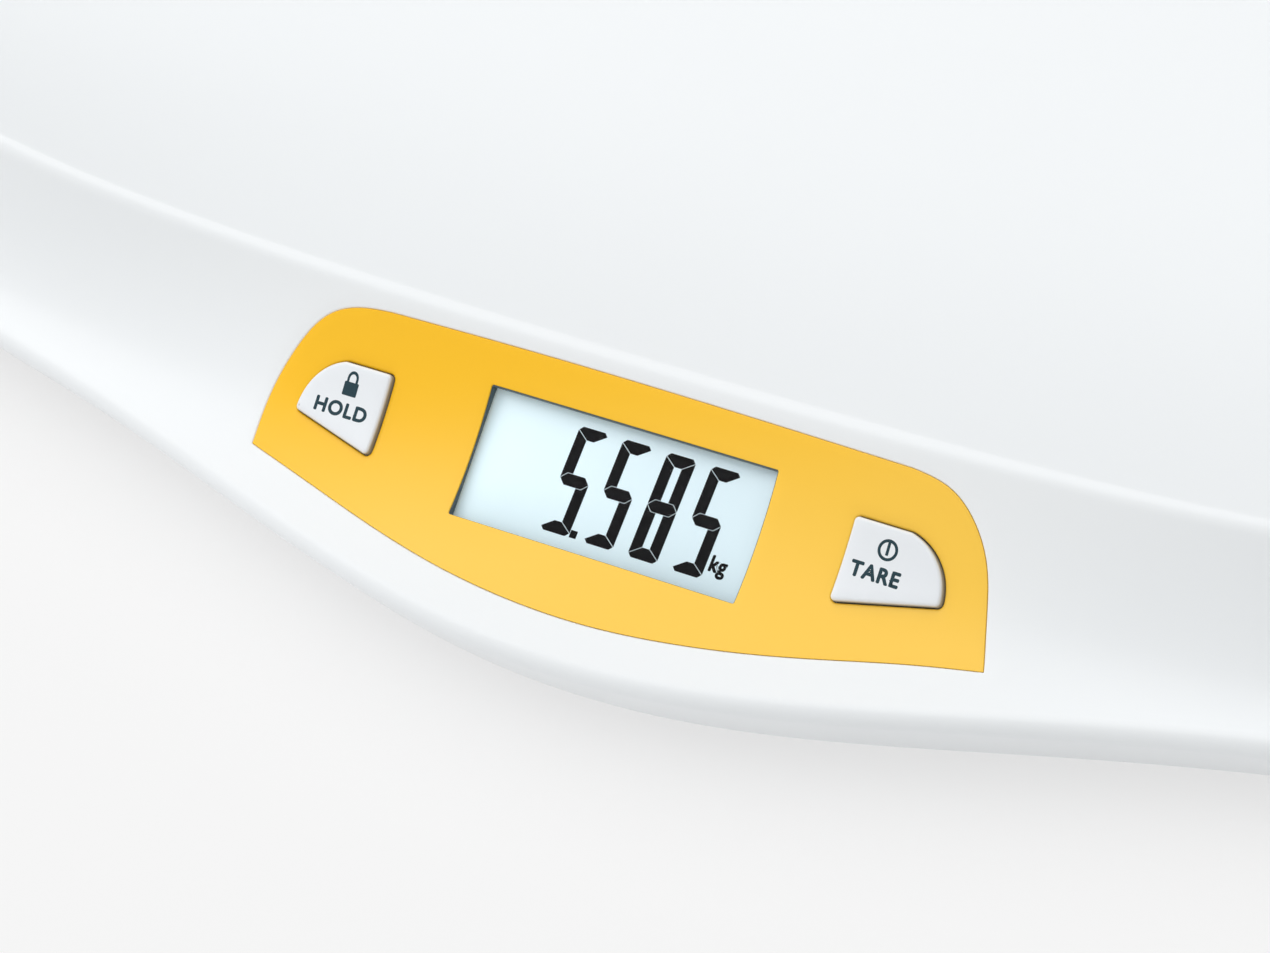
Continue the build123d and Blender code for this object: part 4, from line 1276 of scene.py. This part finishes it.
class SCALE_OT_display(bpy.types.Operator):
    """Makes the display: lens, cell, dark segments and the unit sign"""

    bl_idname = "scale.display"
    bl_label = "Display"

    def execute(self, context):
        form = TrayForm()
        console = sizes()[1]
        colours = context.scene.scale_colours
        lens_top, lens_foot = -console.lens_setback, -console.lens_setback - console.lens_thickness
        lens = around_window(console, 2 * console.lens_overlap, 0.0008, 0.004)
        sheets = plate([lens], form.level_at, lens_top, lens_foot, [SHEET_EDGE], SHEET_CELL, 2)
        finish = lens_finish()
        make_piece("display_lens_sheet", sheets, finish, "scale", "clear_lens", ["display_lens"])
        cell = around_window(console, console.lens_overlap, 0.0003, 0.004)
        cell_top, cell_foot = lens_foot - SHEET_GAP, lens_foot - console.glass_thickness
        sheets = plate([cell], form.level_at, cell_top, cell_foot, [SHEET_EDGE], SHEET_CELL, 2)
        finish = cell_finish(colours.cell)
        make_piece("display_cell", sheets, finish, "scale", "lcd_glass", ["display_glass"])

        corner_u = -console.window_width / 2 + SCREEN_SHIFT[0]
        corner_v = console.window_depth / 2 + SCREEN_SHIFT[1]

        def at(share):
            """A place on the window."""
            right, down = share[0] * console.window_width, share[1] * console.window_depth
            return corner_u + right, corner_v - down

        def leaning(loop, place):
            """A loop leaned over, put at a place and turned counterclockwise."""
            u, v = np.array(loop).T
            loop = np.stack([u + (v * SLANT + place[0]), v + place[1]], -1)
            return loop if area(loop) > 0 else loop[::-1]

        digit_size = console.digit_width, console.digit_height
        loops = segment_loops(*digit_size, console.segment, SEGMENT_GAP)
        foot_u, foot_v = at(DIGITS_AT)
        regions = []
        for place, digit in enumerate(DIGITS):
            foot = foot_u + place * console.digit_pitch, foot_v
            regions += [[leaning(loops[name], foot)] for name in SEGMENTS[digit]]
        regions.append([leaning(rectangle(POINT_SIZE, POINT_SIZE, 0.0001, 0.0005), at(POINT_AT))])
        regions += word_regions("kg", *UNIT_SIZE, at(UNIT_AT), UNIT_GROWTH, SLANT)
        ink = ink_and_shadow_finish("display_segments", colours.segment, 0.05)
        place = form.level_at, cell_top + SEGMENT_LIFT, cell_top - INK, SEGMENT_CELL
        printed("display_digits", regions, *place, ink, "scale", "lcd_glass")
        return {"FINISHED"}


class SCALE_OT_base(bpy.types.Operator):
    """Dresses the base: plate, door, unit key, screws and feet"""

    bl_idname = "scale.base"
    bl_label = "Base and feet"

    def execute(self, context):
        dress(BASE, context.scene.scale_colours)
        return {"FINISHED"}


class SCALE_OT_works(bpy.types.Operator):
    """Dresses what the case holds: load cells, boards, switches, battery and wires"""

    bl_idname = "scale.works"
    bl_label = "Works"

    def execute(self, context):
        dress(WORKS, context.scene.scale_colours)
        return {"FINISHED"}


CAMERA = {
    "target": (0.0, -0.1252, 0.0321),
    "distance": 0.9,
    "elevation": 50.0,
    "azimuth": 45.908,
    "roll": -21.171,
    "focal_pixels": 4707.0,
    "target_pixel": (613.3, 496.1),
}
IMAGE = (1270, 953)
SENSOR_WIDTH = 36.0


def aim_camera():
    """Turns and places the camera, with its target at one pixel of the image."""
    e, a, roll = (math.radians(CAMERA[key]) for key in ("elevation", "azimuth", "roll"))
    forward = Vector((-math.sin(a) * math.cos(e), math.cos(a) * math.cos(e), -math.sin(e)))
    level = Vector((math.cos(a), math.sin(a), 0.0))
    upright = level.cross(forward)
    right = level * math.cos(roll) + upright * math.sin(roll)
    up = upright * math.cos(roll) - level * math.sin(roll)
    position = Vector(CAMERA["target"]) - forward * CAMERA["distance"]
    aside = (IMAGE[0] / 2 - CAMERA["target_pixel"][0]) / CAMERA["focal_pixels"]
    above = (CAMERA["target_pixel"][1] - IMAGE[1] / 2) / CAMERA["focal_pixels"]
    forward = (forward + right * aside + up * above).normalized()
    right = (right - forward * right.dot(forward)).normalized()
    up = right.cross(forward)
    lens = bpy.data.cameras.new("studio_camera")
    lens.sensor_width = SENSOR_WIDTH
    lens.lens = CAMERA["focal_pixels"] / IMAGE[0] * SENSOR_WIDTH
    lens.clip_start, lens.clip_end = 0.05, 20.0
    camera = bpy.data.objects.new("studio_camera", lens)
    bpy.context.scene.collection.objects.link(camera)
    turn = Matrix((right, up, -forward)).transposed()
    camera.matrix_world = Matrix.Translation(position) @ turn.to_4x4()
    bpy.context.scene.camera = camera


SOFT_BOX = {
    "place": (-0.92, 0.5, 1.7),
    "aim": (-0.92, 0.5, 0.0),
    "width": 3.0,
    "height": 2.7,
    "level": 1.25,
}
# The world's light: its level on the bright and the dark side, and the way from one to the other.
BRIGHT_SIDE, DARK_SIDE, FADE = 1.04, 0.29, 0.8
FADE_X, FADE_Y = 0.74, 0.64
BACKDROP = (0.905, 0.905, 0.905, 1.0)
FLOOR_GLOW, FLOOR_REACH = 0.72, 3.0


def add_lamp(name, place, aim, width, height, level):
    """A soft box whose face has a level of brightness, where 1 is white."""
    lamp = bpy.data.lights.new(name, "AREA")
    lamp.shape = "RECTANGLE"
    lamp.size, lamp.size_y = width, height
    lamp.energy = level * math.pi * width * height
    holder = bpy.data.objects.new(name, lamp)
    bpy.context.scene.collection.objects.link(holder)
    holder.location = place
    holder.rotation_euler = (Vector(aim) - Vector(place)).to_track_quat("-Z", "Y").to_euler()


def studio_world():
    """Soft light that fades from the left to the right, in front of a pale backdrop."""
    world = bpy.data.worlds.new("studio")
    world.use_nodes = True
    nodes = Nodes(world.node_tree)
    nodes.tree.nodes.clear()
    way = nodes.node("ShaderNodeTexCoord").outputs["Generated"]
    split = nodes.node("ShaderNodeSeparateXYZ", None, way).outputs
    along = Level(nodes, split["X"]) * FADE_X + Level(nodes, split["Y"]) * FADE_Y
    level = nodes.between(along, -FADE, FADE, BRIGHT_SIDE, DARK_SIDE)
    soft = nodes.node("ShaderNodeBackground", None, Strength=level).outputs[0]
    pale = nodes.node("ShaderNodeBackground", None, BACKDROP).outputs[0]
    choice = nodes.node("ShaderNodeMixShader", None, nodes.in_view(), soft, pale)
    nodes.node("ShaderNodeOutputWorld", None, choice.outputs[0])
    return world


class SCALE_OT_stage(bpy.types.Operator):
    """Sets the floor, the studio light and the camera"""

    bl_idname = "scale.stage"
    bl_label = "Stage"

    def execute(self, context):
        scene = context.scene
        scene.view_settings.view_transform = "Standard"
        scene.world = studio_world()

        mesh = bpy.data.meshes.new("studio_floor")
        corners = FLOOR_REACH * np.array([(-1, -1, 0), (1, -1, 0), (1, 1, 0), (-1, 1, 0)])
        mesh.from_pydata(corners.tolist(), [], [(0, 1, 2, 3)])
        mesh.materials.append(floor_finish(scene.scale_colours.floor))
        floor = bpy.data.objects.new("studio_floor", mesh)
        scene.collection.objects.link(floor)

        add_lamp("soft_box", **SOFT_BOX)
        aim_camera()
        return {"FINISHED"}


class SCALE_PT_sidebar(bpy.types.Panel):
    """Lists the sizes, the colours and the pieces"""

    bl_idname = "SCALE_PT_sidebar"
    bl_label = "Baby weighing scale"
    bl_space_type = "VIEW_3D"
    bl_region_type = "UI"
    bl_category = "Scale"

    def draw(self, context):
        scene = context.scene
        for group in (scene.scale_tray, scene.scale_console, scene.scale_colours):
            column = self.layout.column(align=True)
            for key in group.__annotations__:
                column.prop(group, key)
        column = self.layout.column()
        for operator in OPERATORS:
            column.operator(operator.bl_idname)


GROUPS = {"scale_tray": TraySizes, "scale_console": ConsoleSizes, "scale_colours": Colours}
OPERATORS = (
    SCALE_OT_stage,
    SCALE_OT_shell,
    SCALE_OT_trim,
    SCALE_OT_keys,
    SCALE_OT_display,
    SCALE_OT_base,
    SCALE_OT_works,
)


def register():
    for name, group in GROUPS.items():
        bpy.utils.register_class(group)
        setattr(bpy.types.Scene, name, bpy.props.PointerProperty(type=group))
    for operator in OPERATORS:
        bpy.utils.register_class(operator)
    bpy.utils.register_class(SCALE_PT_sidebar)


def unregister():
    bpy.utils.unregister_class(SCALE_PT_sidebar)
    for operator in reversed(OPERATORS):
        bpy.utils.unregister_class(operator)
    for name, group in GROUPS.items():
        delattr(bpy.types.Scene, name)
        bpy.utils.unregister_class(group)


def main():
    """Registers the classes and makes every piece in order."""
    register()
    for operator in OPERATORS:
        area_name, call = operator.bl_idname.split(".")
        getattr(getattr(bpy.ops, area_name), call)()


if __name__ == "__main__":
    main()
